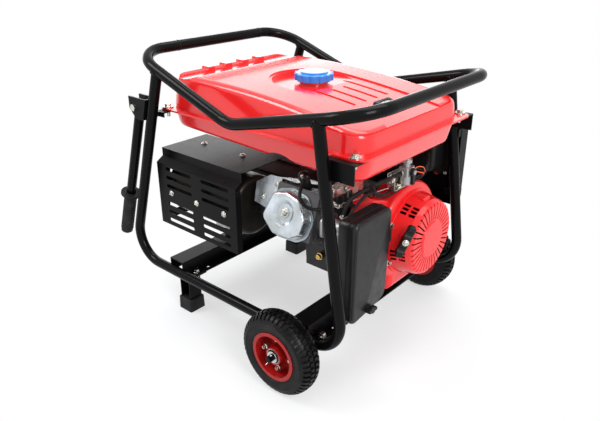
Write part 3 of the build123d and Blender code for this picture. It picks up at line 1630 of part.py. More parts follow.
def make_stator():
    # Drum with cooling ribs, bolted to the crankcase, bored for the rotor.
    bore_in = rotor_r + air_gap
    front = stator_front_x
    drum = crank_revolve(outline([
        (stator_rear_x, bore_in), (stator_rear_x, stator_r), (front - stator_nose, stator_r),
        (front, stator_r - 2 * rib_h), (crankcase_rear_x, stator_r - spigot_drop),
        (crankcase_rear_x, spigot_bore_r), (front - 2 * rib_h, spigot_bore_r), (front - 4 * rib_h, bore_in),
    ]))
    step = 360 / stator_ribs
    vent = Pos(stator_r, 0, front - stator_vent_at) * Box(*stator_vent)
    vents = [crank * Rot(0, 0, (count + 0.5) * step) * vent for count in range(stator_ribs)]
    rib_x = (stator_rear_x + front) / 2 - stator_rib_shift
    rib = crank * Pos(stator_r, 0, rib_x) * Box(2 * rib_h, stator_rib_w, stator_rib_length)
    ribs = [rib.rotate(crank_axis, count * step) for count in range(stator_ribs)]
    return drum + ribs - vents


def make_end_bell():
    # Cast end frame with a bearing seat, vent windows and two feet on the rubber mounts.
    rear = bell_rear_x
    wall = bell_wall
    shaft = bell_bearing_r + running_gap
    outer_r = stator_r - 4
    bell = crank_revolve(outline([
        (rear, shaft), (rear, outer_r - 2 * wall), (rear + 1.5 * wall, outer_r), (stator_rear_x, outer_r),
        (stator_rear_x, outer_r - wall), (rear + 1.75 * wall, outer_r - 1.25 * wall),
        (rear + wall, outer_r - 2.5 * wall), (rear + wall, bell_seat_r),
        (rear + bell_seat_depth, bell_seat_r), (rear + bell_seat_depth, shaft),
    ]))
    window = Pos(bell_window_r, 0, rear) * Box(*bell_window)
    windows = [crank * Rot(0, 0, count * 360 / bell_windows) * window for count in range(bell_windows)]
    half = alternator_foot + mount_r
    foot_top = engine_base_z + bell_foot_h
    shoulder = stator_r - bell_foot_h
    right = [
        (half, engine_base_z), (half, foot_top), (shoulder, crank_z - through_cut),
        (through_cut, crank_z - shoulder + wall),
    ]
    left = [(-y, z) for y, z in reversed(right)]
    foot = Pos(crank_y, 0) * outline(right + left)
    foot_depth = 2 * (rear_channel_x - bell_rear_x) - bell_foot_trim
    legs = extrude(section_yz(rear_channel_x - foot_depth / 2) * foot, foot_depth)
    reach = 2 * foot_depth
    legs -= crank * Pos(0, 0, stator_rear_x) * upright(stator_r + rib_h + body_gap, reach)
    legs -= crank * Pos(0, 0, stator_rear_x - reach) * upright(outer_r - wall / 2, reach)
    return bell - windows + legs


# Control panel

def make_panel():
    # Folded sheet box standing outside the far posts, open towards the frame.
    skin = panel_sheet
    front = panel_y + panel_depth
    box = box_between((panel_rear_x, panel_y, panel_low_z), (panel_front_x, front, panel_high_z))
    box = fillet(box.edges().filter_by(Axis.Y), panel_corner_r)
    hollow = box_between(
        (panel_rear_x + skin, panel_y - 1, panel_low_z + skin),
        (panel_front_x - skin, front - skin, panel_high_z - skin),
    )
    hollow = fillet(hollow.edges().filter_by(Axis.Y), panel_corner_r - skin)
    holes = [rod((x, front - 10, z), (x, front + 10, z), d) for x, z, d in panel_holes()]
    far_loop = mirror(loop_bar, about=Plane.XZ)
    straps = []
    for z in strap_zs:
        post_x = front_post_x(z)
        low_x = min(post_x - strap_lap, panel_front_x - strap_reach)
        high_x = max(post_x + strap_lap, panel_front_x - 1)
        straps.append(box_between(
            (low_x, frame_half, z - strap_half), (high_x, panel_y + sheet, z + strap_half)
        ))
    rail_low = sum(strap_zs) / 2
    rail = box_between(
        (rear_post_x(rail_low) - strap_lap, frame_half, rail_low),
        (panel_rear_x + 1, panel_y + sheet, rail_low + rail_h),
    )
    brackets = [piece - far_loop for piece in straps + [rail]]
    return box - hollow - holes + brackets


def panel_holes():
    holes = [(x, socket_z, socket_d + 2 * slide_gap) for x in socket_xs]
    holes.append((switch_x, switch_z, switch_d + 2 * running_gap))
    holes.append((breaker_x, breaker_z, breaker_d + 2 * running_gap))
    return holes + [(meter_x, meter_z, meter_d + 2 * slide_gap)]


def make_tub():
    # Moulded rear housing of the panel, drafted and rounded.
    high_z = panel_high_z - tub_top_gap
    face = Pos((tub_front_x + tub_rear_x) / 2, (tub_low_z + high_z) / 2) * RectangleRounded(
        tub_front_x - tub_rear_x, high_z - tub_low_z, tub_corner_r
    )
    tub = extrude(section_xz(panel_y) * face, tub_depth, taper=tub_draft)
    tub = fillet(tub.faces().sort_by(Axis.Y)[0].edges(), tub_edge_r)
    inner = extrude(section_xz(panel_y) * offset(face, -tub_wall), tub_depth - tub_floor, taper=tub_draft)
    rim = box_between(
        (tub_rear_x - tub_rim, panel_y - sheet, tub_low_z - tub_rim),
        (tub_front_x + tub_rim, panel_y, panel_high_z),
    )
    rim = fillet(rim.edges().filter_by(Axis.Y), tub_rim_r)
    return tub + rim - fillet(inner.faces().sort_by(Axis.Y)[0].edges(), tub_inner_edge_r)


def make_sockets():
    # Round outlets with a stepped rim and a recessed face.
    front = panel_y + panel_depth
    back = front - socket_body
    floor = front - socket_recess
    proud = front + socket_rim_h
    sockets = []
    for x in socket_xs:
        body = rod((x, back, socket_z), (x, proud - 1, socket_z), socket_d)
        rim = rod((x, front + seat_gap, socket_z), (x, proud, socket_z), socket_d + socket_rim)
        recess = rod((x, floor, socket_z), (x, proud + 1, socket_z), socket_d - socket_recess_in)
        pins = [
            rod((x + side * pin_half, floor - 1, socket_z), (x + side * pin_half, back, socket_z), pin_d)
            for side in (-1, 1)
        ]
        sockets.append(body + rim - recess - pins)
    return group(sockets)


def make_meter():
    # Round voltmeter, its dial set back behind the rim.
    front = panel_y + panel_depth
    dial_y = front + meter_dial_at
    body = rod((meter_x, front - meter_body, meter_z), (meter_x, dial_y, meter_z), meter_d)
    rim = rod((meter_x, front, meter_z), (meter_x, front + meter_rim_h, meter_z), meter_d + meter_rim)
    well_d = meter_d - meter_dial_in
    well = rod((meter_x, dial_y, meter_z), (meter_x, front + 2 * meter_rim_h, meter_z), well_d)
    return body + rim - well


def make_switch():
    # Key-type rotary engine switch with a bar grip.
    front = panel_y + panel_depth
    top = front + switch_disc_h
    bar_w, bar_h, bar_long = switch_bar
    face = front + body_gap
    stem = rod((switch_x, front - switch_stem, switch_z), (switch_x, face + 1, switch_z), switch_d)
    disc = rod((switch_x, face, switch_z), (switch_x, top, switch_z), switch_disc_d)
    bar = box_between(
        (switch_x - bar_w / 2, top - 1, switch_z - bar_long / 2),
        (switch_x + bar_w / 2, top + bar_h - 1, switch_z + bar_long / 2),
    )
    return stem + disc + fillet(bar.edges().filter_by(Axis.Y), switch_bar_r)


def make_breaker():
    # Push-to-reset breaker button.
    front = panel_y + panel_depth
    tip_y = front + breaker_out
    button = rod((breaker_x, front - breaker_in, breaker_z), (breaker_x, tip_y, breaker_z), breaker_d)
    return chamfer(button.edges().group_by(Axis.Y)[-1], breaker_chamfer)


nodes = {}
nodes["top_ring"] = make_ring()
near_loop = make_loop()
nodes["side_loop_near"] = near_loop
nodes["side_loop_far"] = mirror(near_loop, about=Plane.XZ)
nodes["front_channel"] = hat_channel(front_channel_x, mount_ys)
nodes["rear_channel"] = hat_channel(rear_channel_x, mount_ys)
nodes["rubber_mounts"] = make_mounts()
nodes["legs"] = both_sides(make_leg())
nodes["rubber_feet"] = both_sides(make_foot())
nodes["axle"] = make_axle()
for name, side in (("near", -1), ("far", 1)):
    nodes[f"tyre_{name}"] = make_tyre(side)
    nodes[f"rim_{name}"] = make_rim(side)
    nodes[f"bearings_{name}"] = make_bearings(side)
nodes["handle_brackets"] = both_sides(make_handle_bracket())
near_handle = make_handle()
near_grip = make_grip()
nodes["handle_near"] = near_handle
nodes["handle_far"] = mirror(near_handle, about=Plane.XZ)
nodes["grip_near"] = near_grip
nodes["grip_far"] = mirror(near_grip, about=Plane.XZ)
nodes["tank_upper"] = make_tank_upper()
nodes["tank_lower"] = make_tank_lower()
front_bolt_x = tank_front_x - tank_bolt_inset
rear_bolt_x = tank_rear_x + tank_bolt_inset
front_bracket = make_tank_bracket(front_bolt_x, front_post_x(tank_flange_z), front_skirt)
rear_bracket = make_tank_bracket(rear_bolt_x, rear_post_x(tank_flange_z), rear_skirt)
nodes["tank_brackets"] = group(
    [front_bracket, rear_bracket] + [mirror(angle, about=Plane.XZ) for angle in (front_bracket, rear_bracket)]
)
near_bolt = make_handle_bolt()
nodes["frame_bolts"] = group(
    [near_bolt, mirror(near_bolt, about=Plane.XZ)] + [make_tank_bolt(x, y) for x, y in tank_bolt_places()]
)
nodes["fuel_cap"] = make_fuel_cap()
nodes["fuel_gauge"] = make_fuel_gauge()
nodes["fuel_tap"] = make_fuel_tap()
nodes["fuel_tap_lever"] = make_tap_lever()
nodes["fuel_hose"] = make_fuel_hose()
nodes["crankcase"] = make_crankcase()
nodes["oil_filler_cap"] = make_oil_cap()
nodes["cylinder"] = make_cylinder()
nodes["valve_cover"] = make_valve_cover()
nodes["spark_plug_cap"] = make_plug_cap()
nodes["spark_plug_lead"] = make_plug_lead()
nodes["heat_shield"] = make_heat_shield()
nodes["blower_housing"] = make_blower()
nodes["recoil_cover"] = make_recoil_cover()
nodes["recoil_grip"] = make_recoil_grip()
nodes["recoil_pulley"] = make_pulley()
nodes["flywheel"] = make_flywheel()
nodes["crankshaft"] = make_crankshaft()
nodes["air_box_base"] = make_air_base()
nodes["air_box_cover"] = make_air_cover()
nodes["air_filter"] = make_air_filter()
nodes["air_box_knob"] = make_air_knob()
nodes["carburettor"] = make_carburettor()
nodes["choke_lever"] = make_choke_lever()
nodes["control_plate"] = make_control_plate()
nodes["governor_arm"] = make_governor_arm()
nodes["muffler"] = make_muffler()
nodes["muffler_guard"] = make_guard()
nodes["alternator_stator"] = make_stator()
nodes["alternator_end_bell"] = make_end_bell()
nodes["control_panel"] = make_panel()
nodes["panel_housing"] = make_tub()
nodes["sockets"] = make_sockets()
nodes["voltmeter"] = make_meter()
nodes["engine_switch"] = make_switch()
nodes["breaker_button"] = make_breaker()

# The origin lies under the middle of the whole object.
boxes = [shape.bounding_box() for shape in nodes.values()]
middle_x = (min(box.min.X for box in boxes) + max(box.max.X for box in boxes)) / 2
for name, shape in nodes.items():
    pieces = [Pos(-middle_x, 0, 0) * solid for solid in shape.solids()]
    export_step(group(pieces) if len(pieces) > 1 else pieces[0], f"parts/{name}.step")
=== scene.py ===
from math import asin, cos, pi, radians, sin, sqrt
import bmesh
import bpy
from mathutils import Matrix, Vector


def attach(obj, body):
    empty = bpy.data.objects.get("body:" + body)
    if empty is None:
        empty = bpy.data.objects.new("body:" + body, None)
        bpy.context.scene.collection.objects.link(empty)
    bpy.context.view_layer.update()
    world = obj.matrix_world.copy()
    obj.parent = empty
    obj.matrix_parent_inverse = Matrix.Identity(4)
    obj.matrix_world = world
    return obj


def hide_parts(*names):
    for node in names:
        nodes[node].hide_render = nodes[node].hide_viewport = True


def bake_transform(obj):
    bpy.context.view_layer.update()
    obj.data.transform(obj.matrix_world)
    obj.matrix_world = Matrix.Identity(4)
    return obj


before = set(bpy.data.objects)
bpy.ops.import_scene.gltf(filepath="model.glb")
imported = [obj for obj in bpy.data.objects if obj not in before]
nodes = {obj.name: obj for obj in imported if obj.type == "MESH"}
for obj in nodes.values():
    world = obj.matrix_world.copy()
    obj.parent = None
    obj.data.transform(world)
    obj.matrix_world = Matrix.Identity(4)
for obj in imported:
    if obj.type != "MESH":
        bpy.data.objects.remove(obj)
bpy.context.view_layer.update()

print("frame loaded,", len(nodes), "nodes")

# Places below are in millimetres, measured from the middle of the top ring
middleShift = 63.576


def spot(place):
    x, y, z = place
    return Vector((x + middleShift, y, z)) / 1000


def addObject(name, data):
    thing = bpy.data.objects.new(name, data)
    bpy.context.collection.objects.link(thing)
    return thing


# Camera, from the photograph's own perspective
view = {"place": (0.96093, -1.0775, 0.92165), "turn": (65.49, 0.0, 40.86), "lens": 36.30, "sensor": 36.0,
        "clipEnd": 100.0}

camera = addObject("camera", bpy.data.cameras.new("camera"))
camera.location = view["place"]
camera.rotation_euler = [radians(angle) for angle in view["turn"]]
camera.data.lens = view["lens"]
camera.data.sensor_width = view["sensor"]
camera.data.clip_end = view["clipEnd"]
bpy.context.scene.camera = camera


# Node helpers

def addNode(tree, kind, values=None, **settings):
    node = tree.nodes.new("ShaderNode" + kind)
    for key, value in settings.items():
        setattr(node, key, value)
    for key, value in (values or {}).items():
        node.inputs[key].default_value = value
    return node


def noise(tree, place, size, detail):
    node = addNode(tree, "TexNoise", {"Scale": 1.0 / size, "Detail": detail})
    tree.links.new(place, node.inputs["Vector"])
    return node.outputs["Fac"]


def spread(tree, value, low, high, fromLow=0.3, fromHigh=0.7):
    node = addNode(tree, "MapRange", {1: fromLow, 2: fromHigh, 3: low, 4: high})
    tree.links.new(value, node.inputs[0])
    return node.outputs[0]


def mixed(tree, share, first, second):
    node = addNode(tree, "Mix", data_type="RGBA")
    for value, socket in ((share, 0), (first, 6), (second, 7)):
        if isinstance(value, tuple):
            node.inputs[socket].default_value = value
        else:
            tree.links.new(value, node.inputs[socket])
    return node.outputs[2]


def shade(colour, amount):
    return tuple(min(1.0, part * amount) for part in colour) + (1.0,)


# A finish changes what differs from this plain look, sizes in metres
plainLook = {
    "metal": 0.0, "rough": 0.4, "roughSpread": 0.08, "roughSize": 0.02, "coat": 0.0, "coatRough": 0.05,
    "spec": 0.5, "tone": 0.08, "toneSize": 0.12, "second": None, "grain": 0.12, "grainSize": 0.001,
    "grainDepth": 0.0002, "edge": 0.0007, "wear": 0.0, "wearColour": (0.5, 0.5, 0.5, 1.0),
    # The last key sets how strongly the colour is darkened in hollows, as painted shade
    "stretch": (1.0, 1.0, 1.0), "spangle": 0.0, "dust": 0.0, "grime": 0.0,
}
# How the layers lie on every finish
layers = {
    "toneDetail": 4.0, "roughDetail": 4.0, "leastRough": 0.02, "grainDetail": 2.0, "edgeSamples": 4,
    "spangleShare": 0.35, "spangleLift": 1.35,
    "wearReach": 3.0, "wearTurn": (0.80, 0.98), "wearSize": 0.012, "wearDetail": 5.0,
    "wearPatch": (0.42, 0.6),
    "dustSize": 0.03, "dustDetail": 6.0, "dustPatch": (0.45, 0.75), "dustColour": (0.32, 0.30, 0.27, 1.0),
    # Reach, samples, range and darkness of the painted shade in hollows
    "grimeReach": 0.03, "grimeSamples": 8, "grimeHollow": (0.35, 0.95), "grimeShade": 0.12,
}


def rubbedEdges(tree, place, look):
    link = tree.links.new
    reach = layers["wearReach"] * look["edge"]
    wide = addNode(tree, "Bevel", {"Radius": reach}, samples=layers["edgeSamples"])
    turn = addNode(tree, "VectorMath", operation="DOT_PRODUCT")
    link(wide.outputs[0], turn.inputs[0])
    link(addNode(tree, "NewGeometry").outputs["True Normal"], turn.inputs[1])
    patches = noise(tree, place, layers["wearSize"], layers["wearDetail"])
    rubbed = addNode(tree, "Math", operation="MULTIPLY")
    link(spread(tree, turn.outputs["Value"], look["wear"], 0.0, *layers["wearTurn"]), rubbed.inputs[0])
    link(spread(tree, patches, 0.0, 1.0, *layers["wearPatch"]), rubbed.inputs[1])
    return rubbed.outputs[0]


def paintColour(tree, place, colour, look):
    # Broad shifts of tone, then spangle, wear, dust, and painted shade that darkens the colour in hollows
    dark = shade(colour, 1.0 - look["tone"])
    light = look["second"] or shade(colour, 1.0 + look["tone"])
    toneShare = spread(tree, noise(tree, place, look["toneSize"], layers["toneDetail"]), 0.0, 1.0)
    paint = mixed(tree, toneShare, dark, light)
    if look["spangle"]:
        cells = addNode(tree, "TexVoronoi", {"Scale": 1.0 / look["spangle"]})
        tree.links.new(place, cells.inputs["Vector"])
        cellShare = spread(tree, cells.outputs["Color"], 0.0, layers["spangleShare"], 0.0, 1.0)
        paint = mixed(tree, cellShare, paint, shade(colour, layers["spangleLift"]))
    if look["wear"]:
        paint = mixed(tree, rubbedEdges(tree, place, look), paint, look["wearColour"])
    if look["dust"]:
        patches = noise(tree, place, layers["dustSize"], layers["dustDetail"])
        settled = spread(tree, patches, 0.0, look["dust"], *layers["dustPatch"])
        paint = mixed(tree, settled, paint, layers["dustColour"])
    # Painted shade: the colour is darkened towards a near-black copy wherever ambient occlusion finds a
    # hollow
    if look["grime"]:
        hollow = addNode(tree, "AmbientOcclusion", {"Distance": layers["grimeReach"]},
                         samples=layers["grimeSamples"])
        darkened = spread(tree, hollow.outputs["AO"], look["grime"], 0.0, *layers["grimeHollow"])
        paint = mixed(tree, darkened, paint, shade(colour, layers["grimeShade"]))
    return paint


finishes = {}


def makeFinish(name, colour, **changes):
    look = {**plainLook, **changes}
    material = bpy.data.materials.new(name + "Finish")
    material.use_nodes = True
    tree = material.node_tree
    link = tree.links.new
    shader = tree.nodes["Principled BSDF"]
    for socket, key in (("Metallic", "metal"), ("Coat Weight", "coat"), ("Coat Roughness", "coatRough"),
                        ("Specular IOR Level", "spec")):
        shader.inputs[socket].default_value = look[key]
    place = addNode(tree, "TexCoord").outputs["Object"]
    if look["stretch"] != plainLook["stretch"]:
        mapping = addNode(tree, "Mapping", {"Scale": look["stretch"]})
        link(place, mapping.inputs["Vector"])
        place = mapping.outputs["Vector"]
    link(paintColour(tree, place, colour, look), shader.inputs["Base Color"])
    low = max(layers["leastRough"], look["rough"] - look["roughSpread"])
    high = look["rough"] + look["roughSpread"]
    clouds = noise(tree, place, look["roughSize"], layers["roughDetail"])
    link(spread(tree, clouds, low, high), shader.inputs["Roughness"])
    bump = addNode(tree, "Bump", {"Strength": look["grain"], "Distance": look["grainDepth"]})
    link(noise(tree, place, look["grainSize"], layers["grainDetail"]), bump.inputs["Height"])
    if look["edge"]:
        rounded = addNode(tree, "Bevel", {"Radius": look["edge"]}, samples=layers["edgeSamples"])
        link(rounded.outputs[0], bump.inputs["Normal"])
    link(bump.outputs[0], shader.inputs["Normal"])
    finishes[name] = material


makeFinish("tankRed", (0.80, 0.014, 0.016), rough=0.22, roughSpread=0.04, coat=0.7, coatRough=0.1,
           spec=0.35, tone=0.05, grain=0.02, grainSize=0.004, edge=0.0)
makeFinish("fanRed", (0.82, 0.016, 0.018), rough=0.32, roughSpread=0.06, coat=0.3, coatRough=0.14,
           spec=0.35, tone=0.05, grain=0.04, grainSize=0.0025, edge=0.0)
makeFinish("rimRed", (0.33, 0.007, 0.006), rough=0.26, coat=0.12, coatRough=0.08, spec=0.2, tone=0.12,
           grain=0.05, edge=0.0006, dust=0.015)
makeFinish("frameBlack", (0.003, 0.003, 0.0033), rough=0.24, roughSpread=0.05, coat=0.11, coatRough=0.06,
           spec=0.05, tone=0.25, grain=0.025, grainSize=0.004, edge=0.0)
makeFinish("sheetBlack", (0.0035, 0.0035, 0.004), rough=0.34, roughSpread=0.05, spec=0.09, tone=0.2,
           grain=0.1, grainSize=0.0014, wear=0.18, wearColour=(0.03, 0.03, 0.03, 1.0))
makeFinish("guardBlack", (0.005, 0.0049, 0.0056), rough=0.3, roughSpread=0.03, spec=0.08, grain=0.03,
           grainSize=0.003, edge=0.0)
makeFinish("plasticBlack", (0.006, 0.006, 0.006), rough=0.46, spec=0.28, tone=0.2, grain=0.16,
           grainSize=0.0009)
makeFinish("plasticGrey", (0.006, 0.006, 0.007), rough=0.36, spec=0.32, tone=0.14, grain=0.22,
           grainSize=0.0008, edge=0.001)
makeFinish("rubber", (0.008, 0.008, 0.008), rough=0.66, spec=0.24, tone=0.25, grain=0.22, grainSize=0.0014,
           edge=0.0008, dust=0.04)
makeFinish("tyre", (0.003, 0.003, 0.0033), rough=0.38, spec=0.15, tone=0.3, toneSize=0.03, grain=0.3,
           grainSize=0.0016, edge=0.0006, dust=0.03)
makeFinish("zinc", (0.62, 0.62, 0.60), metal=1.0, rough=0.26, roughSpread=0.1, tone=0.15,
           second=(0.74, 0.72, 0.62, 1.0), toneSize=0.05, grain=0.05, grainSize=0.0016, edge=0.0005)
# The valve cover's colour is darkened in its hollows as painted shade
makeFinish("coverZinc", (0.50, 0.54, 0.54), metal=1.0, rough=0.28, roughSpread=0.05, tone=0.1,
           second=(0.72, 0.79, 0.86, 1.0), toneSize=0.04, grain=0.03, grainSize=0.003, edge=0.0008,
           grime=0.95)
makeFinish("shieldZinc", (0.24, 0.29, 0.34), metal=0.75, rough=0.3, roughSpread=0.1, tone=0.2,
           second=(0.80, 0.82, 0.82, 1.0), toneSize=0.03, stretch=(1.0, 1.0, 0.35), spangle=0.02,
           grain=0.06, grainSize=0.006, edge=0.0006)
makeFinish("steel", (0.56, 0.56, 0.56), metal=1.0, rough=0.24, roughSpread=0.1, tone=0.1,
           stretch=(1.0, 6.0, 1.0), grain=0.05, edge=0.0004)
makeFinish("castAlloy", (0.42, 0.42, 0.42), metal=0.85, rough=0.46, roughSpread=0.1, tone=0.14, grain=0.35,
           grainSize=0.0012, grainDepth=0.0003, edge=0.001)
makeFinish("headAlloy", (0.10, 0.10, 0.105), metal=0.7, rough=0.46, roughSpread=0.1, tone=0.2, grain=0.35,
           grainSize=0.0012, grainDepth=0.0003, edge=0.001)
makeFinish("castDark", (0.028, 0.028, 0.030), rough=0.5, spec=0.35, tone=0.2, grain=0.35, grainSize=0.0014,
           grainDepth=0.0003, edge=0.0012, dust=0.03)
makeFinish("iron", (0.06, 0.058, 0.056), metal=0.7, rough=0.5, roughSpread=0.12, tone=0.25, grain=0.25)
makeFinish("brass", (0.80, 0.55, 0.16), metal=1.0, rough=0.26, tone=0.12, grain=0.05, edge=0.0004)
makeFinish("capBlue", (0.02, 0.22, 0.72), rough=0.24, coat=0.4, coatRough=0.06, grain=0.03,
           grainSize=0.0016, edge=0.0008)
makeFinish("capDisc", (0.42, 0.50, 0.62), rough=0.3, coat=0.2, tone=0.06, grain=0.04, edge=0.0004)
makeFinish("paper", (0.62, 0.52, 0.34), rough=0.85, spec=0.2, tone=0.1, grain=0.3)
makeFinish("muffler", (0.020, 0.019, 0.018), metal=0.6, rough=0.46, roughSpread=0.12, tone=0.3,
           second=(0.040, 0.032, 0.026, 1.0), grain=0.15, edge=0.0008)
makeFinish("wireOrange", (0.80, 0.12, 0.02), grain=0.06, edge=0.0)
makeFinish("dialWhite", (0.78, 0.78, 0.75), rough=0.5, tone=0.04, grain=0.06, edge=0.0)
makeFinish("markBlack", (0.02, 0.02, 0.02), rough=0.5, tone=0.2, edge=0.0)
makeFinish("needleRed", (0.6, 0.03, 0.02), tone=0.1, edge=0.0)
makeFinish("buttonRed", (0.55, 0.02, 0.02), rough=0.35, coat=0.2, edge=0.0006)
makeFinish("rope", (0.30, 0.29, 0.27), rough=0.85, spec=0.2, tone=0.25, toneSize=0.002, grain=0.8,
           grainSize=0.0012, grainDepth=0.0006)

wearing = {
    "frameBlack": "top_ring side_loop_near side_loop_far handle_near handle_far axle",
    "sheetBlack": "front_channel rear_channel legs handle_brackets tank_brackets control_panel",
    "guardBlack": "muffler_guard",
    "rubber": "rubber_mounts rubber_feet grip_near grip_far fuel_hose spark_plug_lead",
    "tyre": "tyre_near tyre_far",
    "rimRed": "rim_near rim_far",
    "steel": "bearings_near bearings_far crankshaft",
    "tankRed": "tank_upper tank_lower",
    "zinc": "frame_bolts choke_lever control_plate governor_arm",
    "capBlue": "fuel_cap",
    "plasticBlack": "fuel_gauge fuel_tap_lever oil_filler_cap spark_plug_cap recoil_grip recoil_pulley "
                    "air_box_knob panel_housing sockets voltmeter engine_switch",
    "plasticGrey": "air_box_base air_box_cover",
    "castAlloy": "fuel_tap carburettor alternator_end_bell",
    "headAlloy": "cylinder",
    "castDark": "crankcase",
    "coverZinc": "valve_cover",
    "shieldZinc": "heat_shield",
    "fanRed": "blower_housing recoil_cover",
    "iron": "flywheel alternator_stator",
    "paper": "air_filter",
    "muffler": "muffler",
    "buttonRed": "breaker_button",
}
for finishName, nodeNames in wearing.items():
    for nodeName in nodeNames.split():
        for slot in nodes[nodeName].material_slots:
            slot.material = finishes[finishName]
print("finishes on", sum(len(names.split()) for names in wearing.values()), "nodes")


# Mesh makers: each gives points and faces in millimetres

def stacked(rings):
    points = []
    rows = []
    faces = []
    for ring in rings:
        rows.append(range(len(points), len(points) + len(ring)))
        points += [Vector(point) for point in ring]
    for low, high in zip(rows, rows[1:]):
        for step in range(max(len(low), len(high))):
            corners = (low[step % len(low)], low[(step + 1) % len(low)],
                       high[(step + 1) % len(high)], high[step % len(high)])
            face = tuple(dict.fromkeys(corners))
            if len(face) > 2:
                faces.append(face)
    return points, faces


def circle(radius, height, count=32):
    if not radius:
        return [(0.0, 0.0, height)]
    turns = [2 * pi * step / count for step in range(count)]
    return [(radius * cos(turn), radius * sin(turn), height) for turn in turns]


def turned(profile, count=32):
    return stacked([circle(radius, height, count) for radius, height in profile])


def moved(shape, place, axis=(0.0, 0.0, 1.0), turn=0.0):
    lay = Vector(axis).to_track_quat("Z", "Y").to_matrix().to_4x4()
    matrix = Matrix.Translation(Vector(place)) @ lay @ Matrix.Rotation(turn, 4, "Z")
    return [matrix @ Vector(point) for point in shape[0]], shape[1]


def gathered(shapes):
    points = []
    faces = []
    for more, sides in shapes:
        start = len(points)
        points += list(more)
        faces += [tuple(start + index for index in side) for side in sides]
    return points, faces


def copies(shape, places, axis=(0.0, 0.0, 1.0), turn=0.0):
    return gathered([moved(shape, place, axis, turn) for place in places])


def rowAlong(xs, y, z):
    return [(x, y, z) for x in xs]


def tubeAlong(route, radius, count=8, closed=False, radii=None):
    route = [Vector(point) for point in route]
    total = len(route)
    rings = []
    across = None
    for step, point in enumerate(route):
        if closed:
            ahead = route[(step + 1) % total] - route[step - 1]
        else:
            ahead = route[min(step + 1, total - 1)] - route[max(step - 1, 0)]
        ahead.normalize()
        if across is None:
            across = ahead.orthogonal().normalized()
        across = (across - ahead * across.dot(ahead)).normalized()
        side = ahead.cross(across)
        reach = radii[step] if radii else radius
        turns = [2 * pi * part / count for part in range(count)]
        rings.append([point + (across * cos(turn) + side * sin(turn)) * reach for turn in turns])
    if closed:
        rings.append(rings[0])
    else:
        rings = [[route[0]]] + rings + [[route[-1]]]
    return stacked(rings)


def roundBox(size, radius, steps=2):
    mesh = bmesh.new()
    bmesh.ops.create_cube(mesh, size=1.0)
    bmesh.ops.scale(mesh, vec=size, verts=mesh.verts)
    bmesh.ops.bevel(mesh, geom=mesh.edges[:] + mesh.verts[:], offset=radius, segments=steps, profile=0.5,
                    affect="EDGES")
    mesh.verts.index_update()
    points = [vert.co.copy() for vert in mesh.verts]
    faces = [tuple(vert.index for vert in face.verts) for face in mesh.faces]
    mesh.free()
    return points, faces


def addPiece(name, shape, finish, body="base", crease=35.0):
    points, faces = shape
    mesh = bpy.data.meshes.new(name)
    mesh.from_pydata([spot(point) for point in points], [], faces)
    tidy = bmesh.new()
    tidy.from_mesh(mesh)
    bmesh.ops.remove_doubles(tidy, verts=tidy.verts, dist=1e-6)
    bmesh.ops.recalc_face_normals(tidy, faces=tidy.faces)
    tidy.to_mesh(mesh)
    tidy.free()
    mesh.shade_smooth()
    mesh.set_sharp_from_angle(angle=radians(crease))
    mesh.materials.append(finishes[finish])
    piece = addObject(name, mesh)
    if body:
        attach(piece, body)
    return piece


# Fasteners: forms as shares of the head's own width and height, the flange's heights in millimetres

heads = {
    "hexSteps": 24, "hexWall": 0.72, "hexCrown": ((0.47, 1.0), (0.36, 0.94), (0.0, 0.92)),
    "flangeEdge": 1.4, "flangeTop": 2.2, "flangeLip": 2.4, "flangeSlope": 0.8,
    "screwSteps": 40, "screwWall": 0.35, "domeFoot": 0.4, "domeFloor": 0.5,
    "domeRings": (0.97, 0.85, 0.7, 0.6, 0.52, 0.4, 0.3, 0.2, 0.1),
    "slotHalf": 0.17, "slotReach": 0.58, "slotDepth": 0.45,
    "washerWall": 0.8, "washerTop": 0.96, "studSteps": 20,
}


def hexRing(across, height):
    ring = []
    for step in range(heads["hexSteps"]):
        turn = 2 * pi * step / heads["hexSteps"]
        reach = across / 2 / cos((turn + pi / 6) % (pi / 3) - pi / 6)
        ring.append((reach * cos(turn), reach * sin(turn), height))
    return ring


def hexHead(across, height):
    crown = [circle(wide * across, high * height, heads["hexSteps"]) for wide, high in heads["hexCrown"]]
    return stacked([hexRing(across, 0.0), hexRing(across, heads["hexWall"] * height)] + crown)


def flangeBolt(across, height, flange):
    skirt = turned([(flange, 0.0), (flange, heads["flangeEdge"]),
                    (heads["flangeSlope"] * flange, heads["flangeTop"]), (across / 2, heads["flangeLip"])])
    return gathered([skirt, moved(hexHead(across, height), (0, 0, heads["flangeTop"]))])


def crossScrew(radius, height):
    count = heads["screwSteps"]
    rings = [circle(radius, 0.0, count), circle(radius, heads["screwWall"] * height, count)]
    for share in heads["domeRings"]:
        dome = height * (heads["domeFoot"] + (1 - heads["domeFoot"]) * sqrt(1 - share * share))
        ring = []
        for x, y, _ in circle(share * radius, 0.0, count):
            inSlot = share < heads["slotReach"] and min(abs(x), abs(y)) < heads["slotHalf"] * radius
            ring.append((x, y, dome - (heads["slotDepth"] * height if inSlot else 0.0)))
        rings.append(ring)
    return stacked(rings + [circle(0.0, heads["domeFloor"] * height)])


def washer(outer, inner, height):
    return turned([(inner, 0.0), (outer, 0.0), (outer, heads["washerWall"] * height),
                   (heads["washerTop"] * outer, height), (inner, height), (inner, 0.0)])


def stud(profile):
    return turned(profile, heads["studSteps"])


def onWasher(ring, *parts):
    # The washer is given as outer radius, inner radius and height
    return gathered([washer(*ring)] + [moved(part, (0, 0, ring[2])) for part in parts])


# Tilted frame of the cylinder, and places round the crankshaft
bore = {"x": 113.0, "y": 50.0, "z": 291.0, "tilt": radians(20.0)}
boreOut = Vector((0.0, -cos(bore["tilt"]), sin(bore["tilt"])))
boreUp = Vector((0.0, sin(bore["tilt"]), cos(bore["tilt"])))


